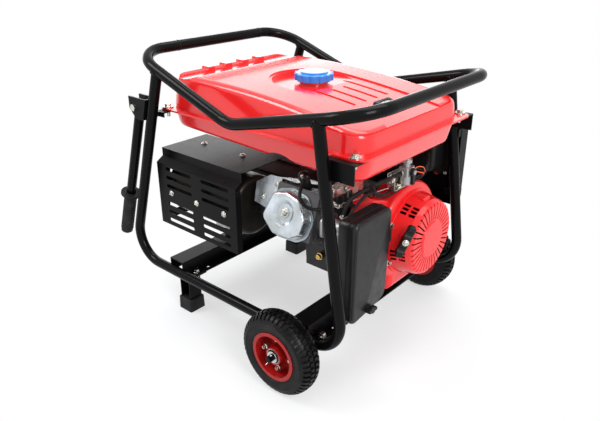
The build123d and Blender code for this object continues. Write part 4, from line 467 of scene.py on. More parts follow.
def borePoint(across, up, out):
    return Vector((bore["x"] + across, bore["y"], bore["z"])) + boreUp * up + boreOut * out


def crankPoint(x, radius, angle):
    turn = radians(angle)
    return Vector((x, bore["y"] + radius * cos(turn), bore["z"] + radius * sin(turn)))


# Frame: welds where the four posts meet the ring, and the ring's own seams

tubes = {
    "radius": 12.7, "half": 250.0, "ringDip": (-15.5, 560.5),
    # Foot of a post, its lean in degrees and the ring's end above it
    "posts": (((-417.0, 121.4), 18.25, (-329.0, 673.5)), ((300.0, 121.4), -8.66, (329.0, 640.8))),
    "bead": 2.3, "beadLift": 0.3, "ripples": 26, "rippleShare": 0.16, "steps": 104,
    "seamX": -329.0, "seamYs": (-120.0, 160.0), "seamZ": 673.5, "seamSteps": 40,
    "seam": ((12.6, -1.6), (13.2, -0.8), (13.35, 0.0), (13.2, 0.8), (12.6, 1.6)),
}


def sideOn(x, z):
    return Vector((x, 0.0, z))


def weldLoop(foot, lean, ringEnd, side):
    along = sideOn(sin(radians(lean)), cos(radians(lean)))
    across = sideOn(along.z, -along.x)
    foot = sideOn(*foot)
    dip = sideOn(*tubes["ringDip"])
    run = (sideOn(*ringEnd) - dip).normalized()
    above = sideOn(-run.z, run.x)
    above = above if above.z > 0 else -above
    route = []
    radii = []
    reach = tubes["radius"] + tubes["beadLift"]
    for step in range(tubes["steps"]):
        turn = 2 * pi * step / tubes["steps"]
        start = foot + across * (reach * cos(turn))
        depth = -sqrt(max(0.0, tubes["radius"] ** 2 - (tubes["radius"] * sin(turn)) ** 2))
        climb = (depth - (start - dip).dot(above)) / along.dot(above)
        point = start + along * climb
        route.append((point.x, side * tubes["half"] + reach * sin(turn), point.z))
        radii.append(tubes["bead"] * (1 + tubes["rippleShare"] * cos(turn * tubes["ripples"])))
    return tubeAlong(route, tubes["bead"], closed=True, radii=radii)


welds = [weldLoop(*post, side) for post in tubes["posts"] for side in (-1, 1)]
addPiece("ring_welds", gathered(welds), "frameBlack")
seam = turned(tubes["seam"], tubes["seamSteps"])
seamPlaces = [(tubes["seamX"], y, tubes["seamZ"]) for y in tubes["seamYs"]]
addPiece("ring_seams", copies(seam, seamPlaces, (0, 1, 0)), "frameBlack")
print("frame welds done")


# Bolts of the cross channels and screws of the legs

channel = {
    "xs": (213.5, 136.5, -211.5, -288.5), "y": 212.0, "flangeTop": 115.0, "flangeSheet": 3.0,
    "lowNutXs": (213.5, 136.5, -211.5), "lowNutTop": 109.0,
    "bolt": (13.0, 6.5, 9.5), "nut": (13.0, 6.5), "nutWasher": (9.0, 4.2, 1.6),
    "stud": ((4.0, 0.0), (4.0, 9.0), (3.2, 10.0), (0.0, 10.0)),
}
channelBolt = flangeBolt(*channel["bolt"])
channelNut = onWasher(channel["nutWasher"], hexHead(*channel["nut"]), stud(channel["stud"]))
shapes = []
for x in channel["xs"]:
    under = channel["flangeTop"] - channel["flangeSheet"]
    if x in channel["lowNutXs"]:
        under = channel["lowNutTop"]
    for side in (-1, 1):
        y = side * channel["y"]
        shapes.append(moved(channelBolt, (x, y, channel["flangeTop"])))
        shapes.append(moved(channelNut, (x, y, under), (0, 0, -1)))
addPiece("channel_bolts", gathered(shapes), "zinc")

legScrews = {"x": -237.0, "y": 198.0, "z": 62.0, "washer": (8.0, 3.0, 1.4), "head": (6.0, 4.0)}
legScrew = onWasher(legScrews["washer"], crossScrew(*legScrews["head"]))
shapes = [moved(legScrew, (legScrews["x"], side * legScrews["y"], legScrews["z"]), (0, side, 0))
          for side in (-1, 1)]
addPiece("leg_screws", gathered(shapes), "zinc")
print("channel bolts done")


# Wheels: treaded tyres, rim bolts, bearing shields, washers and split pins

wheel = {
    "x": 166.5, "z": 98.5, "midY": 297.0, "discY": 8.0, "discSheet": 2.2,
    "bolts": 4, "boltRing": 38.0, "bolt": (9.5, 4.5, 7.0), "boltTurn": 0.4, "nut": (9.5, 5.0),
    "shieldY": 24.0, "shieldSteps": 40,
    "shield": ((9.2, 0.05), (9.2, 0.7), (10.2, 1.1), (15.2, 1.1), (16.2, 0.7), (16.6, 0.05)),
    "washerY": 25.6, "washer": (13.5, 7.6, 2.4), "pinY": 331.0, "pinLean": (0.35, 0.0, 0.94),
}
tyre = {
    "pitches": 46, "depth": 4.2, "heart": 70.0, "crease": 28.0,
    "cuts": (0.04, 0.09, 0.11, 0.16, 0.54, 0.59, 0.61, 0.66), "block": (0.075, 0.63),  # shares of a pitch
    "shallowBelow": 88.0, "shallowShare": 0.3,
    # Section from bead to crown: radius and way out
    "section": (
        ("wall", ((51.0, 22.0), (59.5, 26.0), (62.0, 26.6), (62.6, 27.5), (64.0, 27.6), (64.6, 27.0),
                  (70.0, 27.8), (77.0, 27.9), (77.6, 28.5), (79.2, 28.5), (79.8, 27.6), (85.0, 26.6))),
        ("shoulder", ((86.4, 26.0), (90.0, 23.8), (93.4, 20.0), (95.8, 15.4), (96.6, 13.2))),
        ("groove", ((96.7, 12.9), (97.1, 11.7))),
        ("inner", ((97.2, 11.4), (98.0, 6.5), (98.4, 2.6))),
        ("groove", ((98.4, 2.2), (98.5, 0.9)))),
}
pin = {
    "gauge": 0.85, "eyeGauge": 0.9, "eye": 2.6, "eyeZ": 11.0, "eyeFrom": -70, "eyeSweep": 320,
    "eyeSteps": 14,
    "legs": (((-0.9, 0.0, 6.0), (-0.9, 0.0, -9.0), (-5.0, 0.0, -13.0), (-9.0, 0.0, -14.0)),
             ((0.9, 0.0, 6.0), (0.9, 0.0, -9.0), (4.0, 0.0, -14.0), (5.0, 0.0, -19.0))),
}


def treadSink(band, radius, cut, half):
    if band == "wall":
        return 0.0
    # Blocks of neighbouring rows are set half a pitch apart
    shift = 0.5 if (band == "shoulder") == (half > 0) else 0.0
    low, high = tyre["block"]
    if band != "groove" and low < (cut + shift) % 1.0 < high:
        return 0.0
    return tyre["depth"] * (tyre["shallowShare"] if radius < tyre["shallowBelow"] else 1.0)


def treadTyre(side):
    halves = [(band, radius, out, 1) for band, line in tyre["section"] for radius, out in line]
    section = halves + [(band, radius, -out, -1) for band, radius, out, _ in reversed(halves)]
    rings = []
    for pitch in range(tyre["pitches"]):
        for cut in tyre["cuts"]:
            turn = 2 * pi * (pitch + cut) / tyre["pitches"]
            ring = []
            for band, radius, out, half in section:
                sink = treadSink(band, radius, cut, half)
                way = Vector((radius - tyre["heart"], out)).normalized()
                reach = radius - sink * way.x
                ring.append((wheel["x"] + reach * cos(turn), side * (wheel["midY"] + out - sink * way.y),
                             wheel["z"] + reach * sin(turn)))
            rings.append(ring)
    return stacked(rings + [rings[0]])


def splitPin():
    eye = []
    for step in range(pin["eyeSteps"] + 1):
        turn = radians(pin["eyeFrom"] + pin["eyeSweep"] * step / pin["eyeSteps"])
        eye.append((pin["eye"] * cos(turn), 0.0, pin["eyeZ"] + pin["eye"] * sin(turn)))
    legs = [tubeAlong(leg, pin["gauge"]) for leg in pin["legs"]]
    return gathered([tubeAlong(eye, pin["eyeGauge"])] + legs)


def rimBolts(side):
    shapes = []
    for step in range(wheel["bolts"]):
        turn = 2 * pi * step / wheel["bolts"]
        x = wheel["x"] + wheel["boltRing"] * cos(turn)
        y = wheel["midY"] + wheel["discY"]
        z = wheel["z"] + wheel["boltRing"] * sin(turn)
        front = (x, side * y, z)
        back = (x, side * (y - wheel["discSheet"]), z)
        shapes.append(moved(flangeBolt(*wheel["bolt"]), front, (0, side, 0), wheel["boltTurn"] * step))
        shapes.append(moved(hexHead(*wheel["nut"]), back, (0, -side, 0)))
    return gathered(shapes)


def onAxle(out, side):
    return wheel["x"], side * out, wheel["z"]


for name, side in (("near", -1), ("far", 1)):
    out = (0, side, 0)
    body = "wheel_" + name
    addPiece("rim_bolts_" + name, rimBolts(side), "zinc", body)
    shield = turned(wheel["shield"], wheel["shieldSteps"])
    shieldPlace = onAxle(wheel["midY"] + wheel["shieldY"], side)
    addPiece("bearing_shield_" + name, moved(shield, shieldPlace, out), "rubber", body)
    axleEnd = [moved(washer(*wheel["washer"]), onAxle(wheel["midY"] + wheel["washerY"], side), out),
               moved(splitPin(), onAxle(wheel["pinY"], side), wheel["pinLean"])]
    addPiece("axle_washer_pin_" + name, gathered(axleEnd), "steel")
    tyrePiece = addPiece("tread_tyre_" + name, treadTyre(side), "tyre", body, tyre["crease"])
    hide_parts("tyre_" + name)
print("wheel details done")


# Muffler guard and heat shield screws, valve cover bolt and the plug cap's rivet

guard = {
    "top": ((-249.0, -110.0), -124.0, 438.0), "topTurn": 0.5,  # xs of the row, then its y and z
    "face": ((-258.0, -163.0, -67.0), -232.0, 333.0), "faceTurn": 0.3,
    "washer": (7.5, 3.0, 1.2), "head": (5.6, 3.8),
}
coverScrew = onWasher(guard["washer"], crossScrew(*guard["head"]))
shapes = [copies(coverScrew, rowAlong(*guard["top"]), (0, 0, 1), guard["topTurn"]),
          copies(coverScrew, rowAlong(*guard["face"]), (0, -1, 0), guard["faceTurn"])]
addPiece("guard_screws", gathered(shapes), "zinc")

shieldScrews = {"places": ((-98.0, 8.0), (-66.0, 44.0)), "face": 248.5}
screwPlaces = [borePoint(across, up, shieldScrews["face"]) for across, up in shieldScrews["places"]]
addPiece("shield_screws", copies(coverScrew, screwPlaces, boreOut), "zinc")

dish = {
    "across": -6.0, "up": -4.0, "floor": 284.0, "turn": 0.3, "head": (13.0, 7.5), "headFoot": -4.4,
    "washer": ((11.0, -6.2), (11.0, -4.6), (9.9, -4.2), (6.0, -4.2)),
    "stud": ((3.4, 2.4), (3.4, 4.2), (2.6, 5.0), (0.0, 5.0)),
}
coverBolt = gathered([turned(dish["washer"]),
                      moved(hexHead(*dish["head"]), (0, 0, dish["headFoot"])),
                      stud(dish["stud"])])
dishPlace = borePoint(dish["across"], dish["up"], dish["floor"])
addPiece("valve_cover_bolt", moved(coverBolt, dishPlace, boreOut, dish["turn"]), "zinc")

capRivet = {
    "knee": Vector((119.0, -164.72, 453.76)), "way": Vector((0.35, -0.85, 0.4)).normalized(), "reach": 12.8,
    "profile": ((4.2, -1.5), (4.2, 0.4), (3.2, 1.6), (1.6, 1.9), (1.4, 0.9), (0.0, 0.9)), "steps": 24,
}
rivet = turned(capRivet["profile"], capRivet["steps"])
rivetPlace = capRivet["knee"] + capRivet["way"] * capRivet["reach"]
addPiece("plug_cap_rivet", moved(rivet, rivetPlace, capRivet["way"]), "zinc")
print("guard and shield screws done")


# Recoil starter: ears with bolts, grip screw and the starter cord

recoil = {
    "faceX": 262.0, "earRing": 104.0, "earAngles": (28.0, 152.0, 204.0, 322.0), "earHeight": 4.4,
    "ear": ((10.0, 0.0), (10.0, 3.6), (9.0, 4.4), (0.0, 4.4)), "bolt": (9.5, 5.0, 7.4),
    "grip": Vector((306.0, -47.0, 320.0)), "pull": Vector((sin(radians(40.0)), -cos(radians(40.0)), 0.0)),
    "screwOut": 15.0, "cordIn": 30.0, "cordOut": 1.0, "cordRadius": 2.4, "cordSteps": 16, "cordSides": 12,
    "stretchFrom": 0.1, "stretchTo": 0.9,
}


def earPlaces(x):
    return [crankPoint(x, recoil["earRing"], angle) for angle in recoil["earAngles"]]


ears = copies(turned(recoil["ear"]), earPlaces(recoil["faceX"]), (1, 0, 0))
addPiece("recoil_ears", ears, "fanRed")
boltPlaces = earPlaces(recoil["faceX"] + recoil["earHeight"])
addPiece("recoil_bolts", copies(flangeBolt(*recoil["bolt"]), boltPlaces, (1, 0, 0)), "zinc")
gripScrew = moved(coverScrew, recoil["grip"] + recoil["pull"] * recoil["screwOut"], recoil["pull"])
addPiece("recoil_grip_screw", gripScrew, "zinc", "recoil_grip")
cordStart = recoil["grip"] - recoil["pull"] * recoil["cordIn"]
cordEnd = recoil["grip"] + recoil["pull"] * recoil["cordOut"]
cordLine = [cordStart.lerp(cordEnd, step / recoil["cordSteps"]) for step in range(recoil["cordSteps"] + 1)]
starterCord = tubeAlong(cordLine, recoil["cordRadius"], recoil["cordSides"])
cordPiece = addPiece("starter_cord", starterCord, "rope", body=None)
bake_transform(cordPiece)
print("recoil details done")


# Fuel tank: pale cap disc and the gauge behind its window

cap = {
    "x": 8.0, "topZ": 636.9, "steps": 56,
    "disc": ((29.0, 0.0), (29.0, 0.5), (28.2, 1.0), (22.0, 1.0), (21.4, 0.6), (20.4, 0.6), (19.8, 1.0),
             (0.0, 1.0)),
}
capDisc = turned(cap["disc"], cap["steps"])
addPiece("fuel_cap_disc", moved(capDisc, (cap["x"], 0.0, cap["topZ"])), "capDisc", "fuel_cap")

# The gauge lies on the tank's crown, so it leans by its way from the crown's middle
gauge = {
    "x": 208.0, "z": 591.93, "fromMiddle": 383.0, "crownRadius": 2540.0, "edge": 0.25,
    "dial": (15.0, 35.0, 0.8), "dialUp": 4.6, "marks": 5, "markLengths": (6.5, 4.0), "mark": (1.2, 0.5),
    "markAlong": -2.5, "markFrom": -12.0, "markStep": 6.0, "markUp": 5.1,
    "needle": (9.0, 1.3, 0.6), "needlePlace": (1.5, 7.0, 5.4),
}
gaugeTilt = asin(gauge["fromMiddle"] / gauge["crownRadius"])
gaugeUp = Vector((sin(gaugeTilt), 0.0, cos(gaugeTilt)))
gaugeAlong = Vector((cos(gaugeTilt), 0.0, -sin(gaugeTilt)))


def gaugePlate(size, along, across, up):
    points, faces = roundBox(size, gauge["edge"])
    middle = Vector((gauge["x"], across, gauge["z"])) + gaugeAlong * along + gaugeUp * up
    return [middle + gaugeAlong * x + Vector((0.0, y, 0.0)) + gaugeUp * z for x, y, z in points], faces


addPiece("gauge_dial", gaugePlate(gauge["dial"], 0.0, 0.0, gauge["dialUp"]), "dialWhite")
marks = [gaugePlate((gauge["markLengths"][step % 2], *gauge["mark"]), gauge["markAlong"],
                    gauge["markFrom"] + gauge["markStep"] * step, gauge["markUp"])
         for step in range(gauge["marks"])]
addPiece("gauge_marks", gathered(marks), "markBlack")
addPiece("gauge_needle", gaugePlate(gauge["needle"], *gauge["needlePlace"]), "needleRed")
print("tank details done")


# Air box: side latch with its catch and hinge roll

latch = {
    # Size, edge and place of the lever and the catch
    "blocks": (((20.0, 7.0, 44.0), 2.4, (280.0, -84.2, 340.0)),
               ((8.0, 5.0, 30.0), 1.8, (288.0, -81.0, 340.0))), "edgeSteps": 3,
    "roll": ((3.0, -20.0), (3.6, -18.0), (3.6, 18.0), (3.0, 20.0), (0.0, 20.0)),
    "rollPlace": (271.0, -82.2, 340.0),
}
shapes = [moved(roundBox(size, edge, latch["edgeSteps"]), place) for size, edge, place in latch["blocks"]]
shapes.append(moved(stud(latch["roll"]), latch["rollPlace"]))
addPiece("air_box_latch", gathered(shapes), "plasticBlack")
print("air box latch done")


# Engine: brass plugs, end bell bolts and the bearing cap

oilPlugs = {"row": ((99.0, 152.0), -82.0, 220.0), "plug": (13.0, 6.0, 9.0), "turn": 0.2}
plugs = copies(flangeBolt(*oilPlugs["plug"]), rowAlong(*oilPlugs["row"]), (0, -1, 0), oilPlugs["turn"])
addPiece("oil_plugs", plugs, "brass")

endBell = {
    "rearX": -300.0, "boltRing": 82.0, "angles": (18.0, 90.0, 198.0, 270.0), "bolt": (10.0, 6.0, 7.5),
    "cap": ((27.0, 0.0), (27.0, 1.6), (24.0, 4.2), (14.0, 5.2), (0.0, 5.4)), "capSteps": 40,
}
rear = (-1, 0, 0)
boltPlaces = [crankPoint(endBell["rearX"], endBell["boltRing"], angle) for angle in endBell["angles"]]
addPiece("end_bell_bolts", copies(flangeBolt(*endBell["bolt"]), boltPlaces, rear), "zinc")
bearingCap = turned(endBell["cap"], endBell["capSteps"])
addPiece("end_bearing_cap", moved(bearingCap, crankPoint(endBell["rearX"], 0.0, 0.0), rear), "zinc")
print("engine bolts done")


# Wires and rods: a smooth line through every point of a route

def curveThrough(route, steps=8):
    points = [Vector(place) for place in route]
    ends = [points[0] * 2 - points[1]] + points + [points[-1] * 2 - points[-2]]
    line = []
    for before, start, stop, after in zip(ends, ends[1:], ends[2:], ends[3:]):
        for step in range(steps):
            t = step / steps
            bend = 2 * before - 5 * start + 4 * stop - after
            twist = 3 * start - before - 3 * stop + after
            line.append(0.5 * (2 * start + (stop - before) * t + bend * t * t + twist * t ** 3))
    return line + [points[-1]]


def wire(route, radius, count=8):
    return tubeAlong(curveThrough(route), radius, count)


# Governor linkage beside the carburettor

linkage = {
    "gauge": 1.2,
    "shaft": ((3.4, 0.0), (3.4, 33.0), (2.6, 34.0), (2.6, 37.0), (0.0, 37.4)),
    "shaftPlace": (196.0, -161.3, 374.0),
    "lever": (26.0, 9.0, 1.8), "leverEdge": 0.6, "leverPlace": (203.0, -161.3, 409.0), "leverTurn": -0.2,
    "stopScrew": (3.4, 2.4), "stopPlace": (210.0, -158.5, 410.0),
    "link": ((184.0, -150.0, 436.0), (184.0, -150.0, 442.5), (185.5, -160.0, 443.0), (188.5, -176.0, 440.0),
             (199.0, -180.0, 432.0), (210.0, -175.0, 423.0), (213.0, -167.0, 415.0), (213.0, -163.8, 407.0)),
    "rod": ((206.0, -143.0, 400.0), (206.0, -141.0, 407.0), (216.0, -120.0, 411.0), (246.0, -54.0, 423.0),
            (252.0, -42.0, 425.0), (253.0, -40.0, 430.0)),
    "plateX": 203.5, "plateBolts": ((-126.0, 436.5), (-78.0, 412.0)), "plateBolt": (8.0, 4.0, 6.0),
}
spring = {
    "start": Vector((184.0, -124.0, 432.5)), "stop": Vector((200.0, -74.0, 438.0)), "radius": 3.4,
    "gauge": 0.6, "turns": 13, "steps": 12, "hook": 0.12, "sides": 6,
}


def coiledSpring():
    way = (spring["stop"] - spring["start"]).normalized()
    across = way.orthogonal().normalized()
    side = way.cross(across)
    route = [spring["start"]]
    total = spring["turns"] * spring["steps"]
    for step in range(total + 1):
        turn = 2 * pi * step / spring["steps"]
        share = spring["hook"] + (1 - 2 * spring["hook"]) * step / total
        middle = spring["start"].lerp(spring["stop"], share)
        route.append(middle + (across * cos(turn) + side * sin(turn)) * spring["radius"])
    return tubeAlong(route + [spring["stop"]], spring["gauge"], spring["sides"])


shapes = [moved(stud(linkage["shaft"]), linkage["shaftPlace"]),
          moved(roundBox(linkage["lever"], linkage["leverEdge"]), linkage["leverPlace"], (0, 0, 1),
                linkage["leverTurn"]),
          moved(crossScrew(*linkage["stopScrew"]), linkage["stopPlace"])]
addPiece("throttle_lever", gathered(shapes), "zinc")
addPiece("throttle_link", wire(linkage["link"], linkage["gauge"]), "zinc", "governor_arm")
springPiece = addPiece("governor_spring", coiledSpring(), "steel", body=None)
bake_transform(springPiece)
addPiece("control_rod", wire(linkage["rod"], linkage["gauge"]), "zinc")
boltPlaces = [(linkage["plateX"], y, z) for y, z in linkage["plateBolts"]]
plateBolts = copies(flangeBolt(*linkage["plateBolt"]), boltPlaces, (1, 0, 0))
addPiece("control_plate_bolts", plateBolts, "zinc")
print("linkage done")


# Fuel tap's bracket and the hose's clips

bracket = {
    "edge": 0.8,
    "plates": (((2.0, 52.0, 36.0), (249.0, -16.0, 440.0)), ((20.0, 2.0, 30.0), (258.0, -41.0, 437.0)),
               ((22.0, 40.0, 2.0), (259.0, -20.0, 422.0))),
    "bolts": (((9.0, 5.0, 7.0), (250.0, -26.0, 446.0), (1, 0, 0)),
              ((9.0, 5.0, 7.0), (262.0, -42.0, 444.0), (0, -1, 0)),
              ((8.0, 4.0, 6.0), (262.0, -14.0, 423.0), (0, 0, 1))),
}
clip = {
    "places": (((262.0, -9.0, 452.0), (0, 1, 0)), ((224.0, -161.35, 388.0), (0, 0, 1))), "radius": 5.2,
    "gauge": 0.8, "steps": 36, "bandZs": (-1.6, 1.6), "tab": (3.4, 1.0, 5.0), "tabEdge": 0.3, "tabOut": 2.0,
    "tabYs": (-1.4, 1.4),
}


def hoseClip(place, axis):
    ring = tubeAlong(circle(clip["radius"], 0.0, clip["steps"]), clip["gauge"], closed=True)
    tab = roundBox(clip["tab"], clip["tabEdge"])
    bands = [moved(ring, (0, 0, z)) for z in clip["bandZs"]]
    tabs = [moved(tab, (clip["radius"] + clip["tabOut"], y, 0.0)) for y in clip["tabYs"]]
    return moved(gathered(bands + tabs), place, axis)


shapes = [moved(roundBox(size, bracket["edge"]), place) for size, place in bracket["plates"]]
shapes += [moved(flangeBolt(*bolt), place, axis) for bolt, place, axis in bracket["bolts"]]
addPiece("tap_bracket", gathered(shapes), "zinc")
clips = [hoseClip(place, axis) for place, axis in clip["places"]]
addPiece("hose_clips", gathered(clips), "zinc")
print("tap bracket and clips done")


# Wiring, held along the engine

harness = {
    "mainRadius": 3.0, "mainSides": 12, "stopRadius": 2.2, "stopSides": 10, "orangeRadius": 1.2,
    "main": ((242.0, -168.0, 392.0), (246.0, -165.0, 408.0), (249.0, -121.0, 431.0), (250.0, -92.0, 429.0),
             (251.0, -56.0, 414.0), (252.0, -30.0, 416.0), (253.0, 27.0, 420.0), (250.0, 100.0, 415.0),
             (238.0, 150.0, 424.0), (218.0, 188.0, 432.0), (205.0, 210.0, 432.0)),
    "stop": ((249.0, -92.0, 426.0), (252.0, -58.0, 408.0), (258.0, -30.0, 410.0), (259.0, 24.0, 415.0),
             (252.0, 102.0, 410.0), (238.0, 156.0, 418.0), (214.0, 190.0, 426.0), (200.0, 210.0, 426.0)),
    "orange": (((268.0, 26.0, 447.0), (268.0, 48.0, 452.0), (266.0, 78.0, 443.0), (262.0, 96.0, 427.0),
                (252.0, 104.0, 416.0)),
               ((266.0, 27.0, 443.0), (266.0, 50.0, 440.0), (268.0, 76.0, 430.0), (262.0, 90.0, 421.0),
                (252.0, 101.0, 414.0))),
}
tie = {
    "place": (248.0, -100.0, 432.5), "lean": (0.1, -1.0, 0.2), "halfWidth": 8.5, "halfHeight": 12.0,
    "gauge": 1.3, "steps": 36,
    # Size, edge, place, lean and turn of the lock and the tail
    "blocks": (((6.0, 6.0, 5.0), 1.2, (252.0, -100.0, 443.0), (0.0, 0.0, 1.0), 0.0),
               ((2.4, 24.0, 1.2), 0.4, (256.0, -86.0, 443.0), (0.2, 0.0, 1.0), 0.3)),
}
looms = [wire(harness["main"], harness["mainRadius"], harness["mainSides"]),
         wire(harness["stop"], harness["stopRadius"], harness["stopSides"])]
addPiece("engine_harness", gathered(looms), "rubber")
sensorWires = [wire(route, harness["orangeRadius"]) for route in harness["orange"]]
addPiece("sensor_wires", gathered(sensorWires), "wireOrange")
strap = [(tie["halfWidth"] * x, tie["halfHeight"] * y, 0.0) for x, y, _ in circle(1.0, 0.0, tie["steps"])]
shapes = [moved(tubeAlong(strap, tie["gauge"], closed=True), tie["place"], tie["lean"])]
shapes += [moved(roundBox(size, edge), *lay) for size, edge, *lay in tie["blocks"]]
addPiece("cable_tie", gathered(shapes), "plasticBlack")
print("wiring done")


# Control panel: screws, the alternator's cable, socket contacts, meter, breaker collar and earth terminal

panel = {
    "faceY": 299.0, "screw": (4.6, 3.0), "screwXs": (-46.0, 101.0, 248.0), "screwZs": (298.0, 491.0),
    "screwTurn": 0.4, "back": ((-24.0, 103.0, 230.0), 262.0, 367.0), "backTurn": 0.3,
    "socketXs": (20.0, 100.0), "socketZ": 350.0, "clip": (5.0, 6.0, 1.6), "clipEdge": 0.5, "clipIn": 11.0,
    "clipOut": 19.6,
}
panelOut = (0, 1, 0)


def onPanel(place, lift=0.0):
    return Vector((place[0], panel["faceY"] + lift, place[1]))


panelScrew = crossScrew(*panel["screw"])
backScrews = copies(panelScrew, rowAlong(*panel["back"]), (0, -1, 0), panel["backTurn"])
addPiece("housing_screws", backScrews, "zinc")

outlet = {
    "radius": 6.0, "sides": 14,
    "route": ((-110.0, 152.0, 300.0), (-112.0, 176.0, 312.0), (-80.0, 196.0, 360.0), (-20.0, 206.0, 392.0),
              (-4.0, 214.0, 402.0)),
}
addPiece("alternator_cable", wire(outlet["route"], outlet["radius"], outlet["sides"]), "rubber")

screwPlaces = [onPanel((x, z)) for x in panel["screwXs"] for z in panel["screwZs"]]
addPiece("panel_screws", copies(panelScrew, screwPlaces, panelOut, panel["screwTurn"]), "zinc")
clipPlaces = [onPanel((x, panel["socketZ"] + side * panel["clipOut"]), -panel["clipIn"])
              for x in panel["socketXs"] for side in (-1, 1)]
addPiece("earth_clips", copies(roundBox(panel["clip"], panel["clipEdge"]), clipPlaces), "zinc")

meter = {
    "place": (60.0, 440.0), "dial": ((27.4, 0.0), (27.4, 0.5), (0.0, 0.5)), "dialLift": 2.1, "dialSteps": 48,
    "pivot": (60.0, 432.0), "ticks": 11, "everyLong": 5, "longTick": 5.0, "shortTick": 3.0,
    "tick": (0.3, 0.7), "tickRing": 22.0, "tickLift": 2.75, "firstAngle": 150.0, "tickAngle": 12.0,
    "edge": 0.1, "needle": (19.0, 0.3, 0.9), "needleMiddle": 8.0, "needleLift": 3.2,
    "hub": ((3.2, 0.0), (3.2, 0.6), (2.6, 1.0), (0.0, 1.0)), "hubSink": 0.5,
}


def meterBar(size, place, angle, middle=0.0):
    # A thin bar on the dial, turned about the meter's own axis
    points, faces = roundBox(size, meter["edge"], 1)
    turn = Matrix.Rotation(angle, 3, "Y")
    return [place + turn @ Vector((-point.x - middle, point.y, point.z)) for point in points], faces


dial = turned(meter["dial"], meter["dialSteps"])
addPiece("meter_dial", moved(dial, onPanel(meter["place"], meter["dialLift"]), panelOut), "dialWhite")
shapes = []
for step in range(meter["ticks"]):
    angle = radians(meter["firstAngle"] - meter["tickAngle"] * step)
    length = meter["shortTick"] if step % meter["everyLong"] else meter["longTick"]
    reach = meter["tickRing"] - length / 2
    place = onPanel(meter["pivot"], meter["tickLift"]) + sideOn(-reach * cos(angle), reach * sin(angle))
    shapes.append(meterBar((length, *meter["tick"]), place, angle))
addPiece("meter_ticks", gathered(shapes), "markBlack")
pivot = onPanel(meter["pivot"], meter["needleLift"])
hubPlace = onPanel(meter["pivot"], meter["needleLift"] - meter["hubSink"])
shapes = [meterBar(meter["needle"], pivot, radians(meter["firstAngle"]), meter["needleMiddle"]),
          moved(stud(meter["hub"]), hubPlace, panelOut)]
addPiece("meter_needle", gathered(shapes), "needleRed")

breaker = {"place": (190.0, 350.0), "collar": ((10.5, 0.0), (10.5, 2.0), (9.6, 3.0), (7.0, 3.0), (7.0, 0.0))}
addPiece("breaker_collar", moved(turned(breaker["collar"]), onPanel(breaker["place"]), panelOut), "steel")

earth = {
    "place": (236.0, 322.0), "washer": (9.0, 3.0, 1.4), "nut": (11.0, 5.0), "wing": (26.0, 3.0, 9.0),
    "wingEdge": 1.2, "wingUp": 9.1, "stud": ((3.0, 0.0), (3.0, 16.0), (2.2, 17.0), (0.0, 17.0)),
}
wing = moved(roundBox(earth["wing"], earth["wingEdge"]), (0, 0, earth["wingUp"]))
terminal = onWasher(earth["washer"], hexHead(*earth["nut"]), stud(earth["stud"]), wing)
addPiece("earth_terminal", moved(terminal, onPanel(earth["place"]), panelOut), "brass")
print("panel details done")


# Cords: each is one smooth line led by its route, diameters in millimetres and lengths in metres

cordForm = {"bevelSteps": 5, "lineSteps": 16, "order": 3}
cords = {
    "plug_lead_cord": {
        "replaces": "spark_plug_lead", "diameter": 7.5, "length": 0.200,
        "route": ((134.0, -177.92, 454.76), (148.0, -222.0, 440.0), (168.0, -216.0, 410.0),
                  (190.0, -180.0, 402.0), (207.0, -132.97, 402.29), (207.0, -101.02, 390.66))},
    "fuel_hose_cord": {
        "replaces": "fuel_hose", "diameter": 9.0, "length": 0.200,
        "route": ((262.0, -2.0, 452.0), (262.0, -48.0, 452.0), (240.0, -96.0, 440.0),
                  (224.0, -161.35, 424.0), (224.0, -161.35, 381.41))},
}


def addCord(name, cord):
    line = bpy.data.curves.new(name, "CURVE")
    line.dimensions = "3D"
    line.bevel_depth = cord["diameter"] / 2000
    line.bevel_resolution = cordForm["bevelSteps"]
    line.use_fill_caps = True
    line.resolution_u = cordForm["lineSteps"]
    spline = line.splines.new("NURBS")
    spline.points.add(len(cord["route"]) - 1)
    for point, place in zip(spline.points, cord["route"]):
        point.co = (*spot(place), 1.0)
    spline.order_u = cordForm["order"]
    spline.use_endpoint_u = True
    line.materials.append(finishes["rubber"])
    piece = addObject(name, line)
    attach(piece, "base")
    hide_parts(cord["replaces"])


for cordName, cord in cords.items():
    addCord(cordName, cord)
print("cords done")


# Studio: pale floor that keeps the shadow, white surround, soft lamps, all in metres

white = (1.0, 1.0, 1.0, 1.0)
studio = {
    # The floor's matte colour is tinted blue so that its shadows look cool, as painted shade
    "floorHalf": 30.0, "shadeTintedFloorColour": (0.86, 0.87, 0.89, 1.0), "shadowStart": 0.32, "shadowReach": 0.66,
    "floorGlow": 0.54, "surround": 0.6, "lampAim": Vector((0.0, 0.0, 0.35)),
    "whiteRays": ("Is Camera Ray", "Is Glossy Ray", "Is Transmission Ray"),
    # Place, size and power of each lamp
    "lamps": {
        "key_lamp": ((-1.5, -1.6, 2.5), (1.2, 1.2), 44.0), "fill_lamp": ((2.2, -0.9, 1.7), (0.8, 1.2), 36.0),
        "top_lamp": ((0.1, 0.5, 2.6), (2.2, 1.4), 36.0), "back_lamp": ((-3.0, 2.1, 0.85), (4.4, 1.1), 44.0),
        "high_back_lamp": ((-2.5, 2.6, 2.0), (4.6, 1.2), 12.0)},
}


def whiteRays(tree):
    path = addNode(tree, "LightPath")
    share = path.outputs[studio["whiteRays"][0]]
    for name in studio["whiteRays"][1:]:
        both = addNode(tree, "Math", operation="MAXIMUM")
        tree.links.new(share, both.inputs[0])
        tree.links.new(path.outputs[name], both.inputs[1])
        share = both.outputs[0]
    return share


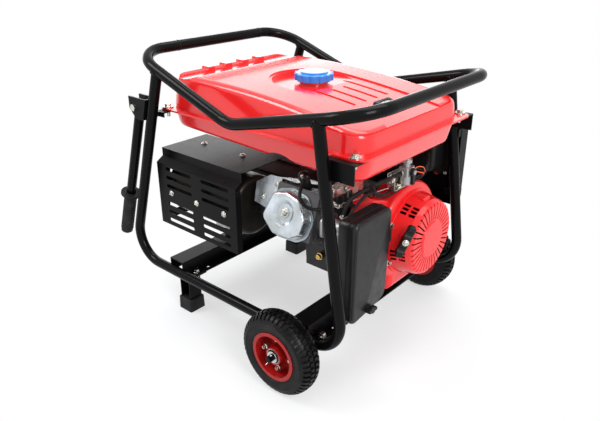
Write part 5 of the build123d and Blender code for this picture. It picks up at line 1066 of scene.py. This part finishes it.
def mixShaders(tree, share, first, second):
    mix = addNode(tree, "MixShader")
    for socket, value in enumerate((share, first.outputs[0], second.outputs[0])):
        tree.links.new(value, mix.inputs[socket])
    return mix.outputs[0]


def makeFloor():
    half = studio["floorHalf"]
    corners = [(-half, -half, 0), (half, -half, 0), (half, half, 0), (-half, half, 0)]
    mesh = bpy.data.meshes.new("floor")
    mesh.from_pydata(corners, [], [(0, 1, 2, 3)])
    floor = addObject("floor", mesh)
    material = bpy.data.materials.new("studio_floor")
    material.use_nodes = True
    tree = material.node_tree
    link = tree.links.new
    tree.nodes.remove(tree.nodes["Principled BSDF"])
    # Matte part of the floor, tinted blue as painted cool shade
    matte = addNode(tree, "BsdfDiffuse", {"Color": studio["shadeTintedFloorColour"]})
    glow = addNode(tree, "Emission", {"Color": white, "Strength": 1.0})
    reach = addNode(tree, "VectorMath", operation="LENGTH")
    link(addNode(tree, "TexCoord").outputs["Object"], reach.inputs[0])
    fade = {1: studio["shadowStart"], 2: studio["shadowReach"], 3: studio["floorGlow"], 4: 1.0}
    far = addNode(tree, "MapRange", fade, interpolation_type="SMOOTHSTEP")
    link(reach.outputs["Value"], far.inputs[0])
    share = addNode(tree, "Math", operation="MULTIPLY")
    link(whiteRays(tree), share.inputs[0])
    link(far.outputs[0], share.inputs[1])
    floorMix = mixShaders(tree, share.outputs[0], matte, glow)
    link(floorMix, tree.nodes["Material Output"].inputs["Surface"])
    mesh.materials.append(material)


def makeWorld():
    world = bpy.data.worlds.new("studio")
    bpy.context.scene.world = world
    world.use_nodes = True
    tree = world.node_tree
    soft = tree.nodes["Background"]
    soft.inputs["Color"].default_value = white
    soft.inputs["Strength"].default_value = studio["surround"]
    plain = addNode(tree, "Background", {"Color": white, "Strength": 1.0})
    sky = mixShaders(tree, whiteRays(tree), soft, plain)
    tree.links.new(sky, tree.nodes["World Output"].inputs["Surface"])


def addLamp(name, place, size, power):
    lamp = bpy.data.lights.new(name, "AREA")
    lamp.shape = "RECTANGLE"
    lamp.size, lamp.size_y = size
    lamp.energy = power
    stand = addObject(name, lamp)
    stand.location = place
    stand.rotation_euler = (studio["lampAim"] - Vector(place)).to_track_quat("-Z", "Y").to_euler()


makeFloor()
makeWorld()
for lampName, lampFacts in studio["lamps"].items():
    addLamp(lampName, *lampFacts)
bpy.context.scene.view_settings.view_transform = "Standard"
print("studio done")
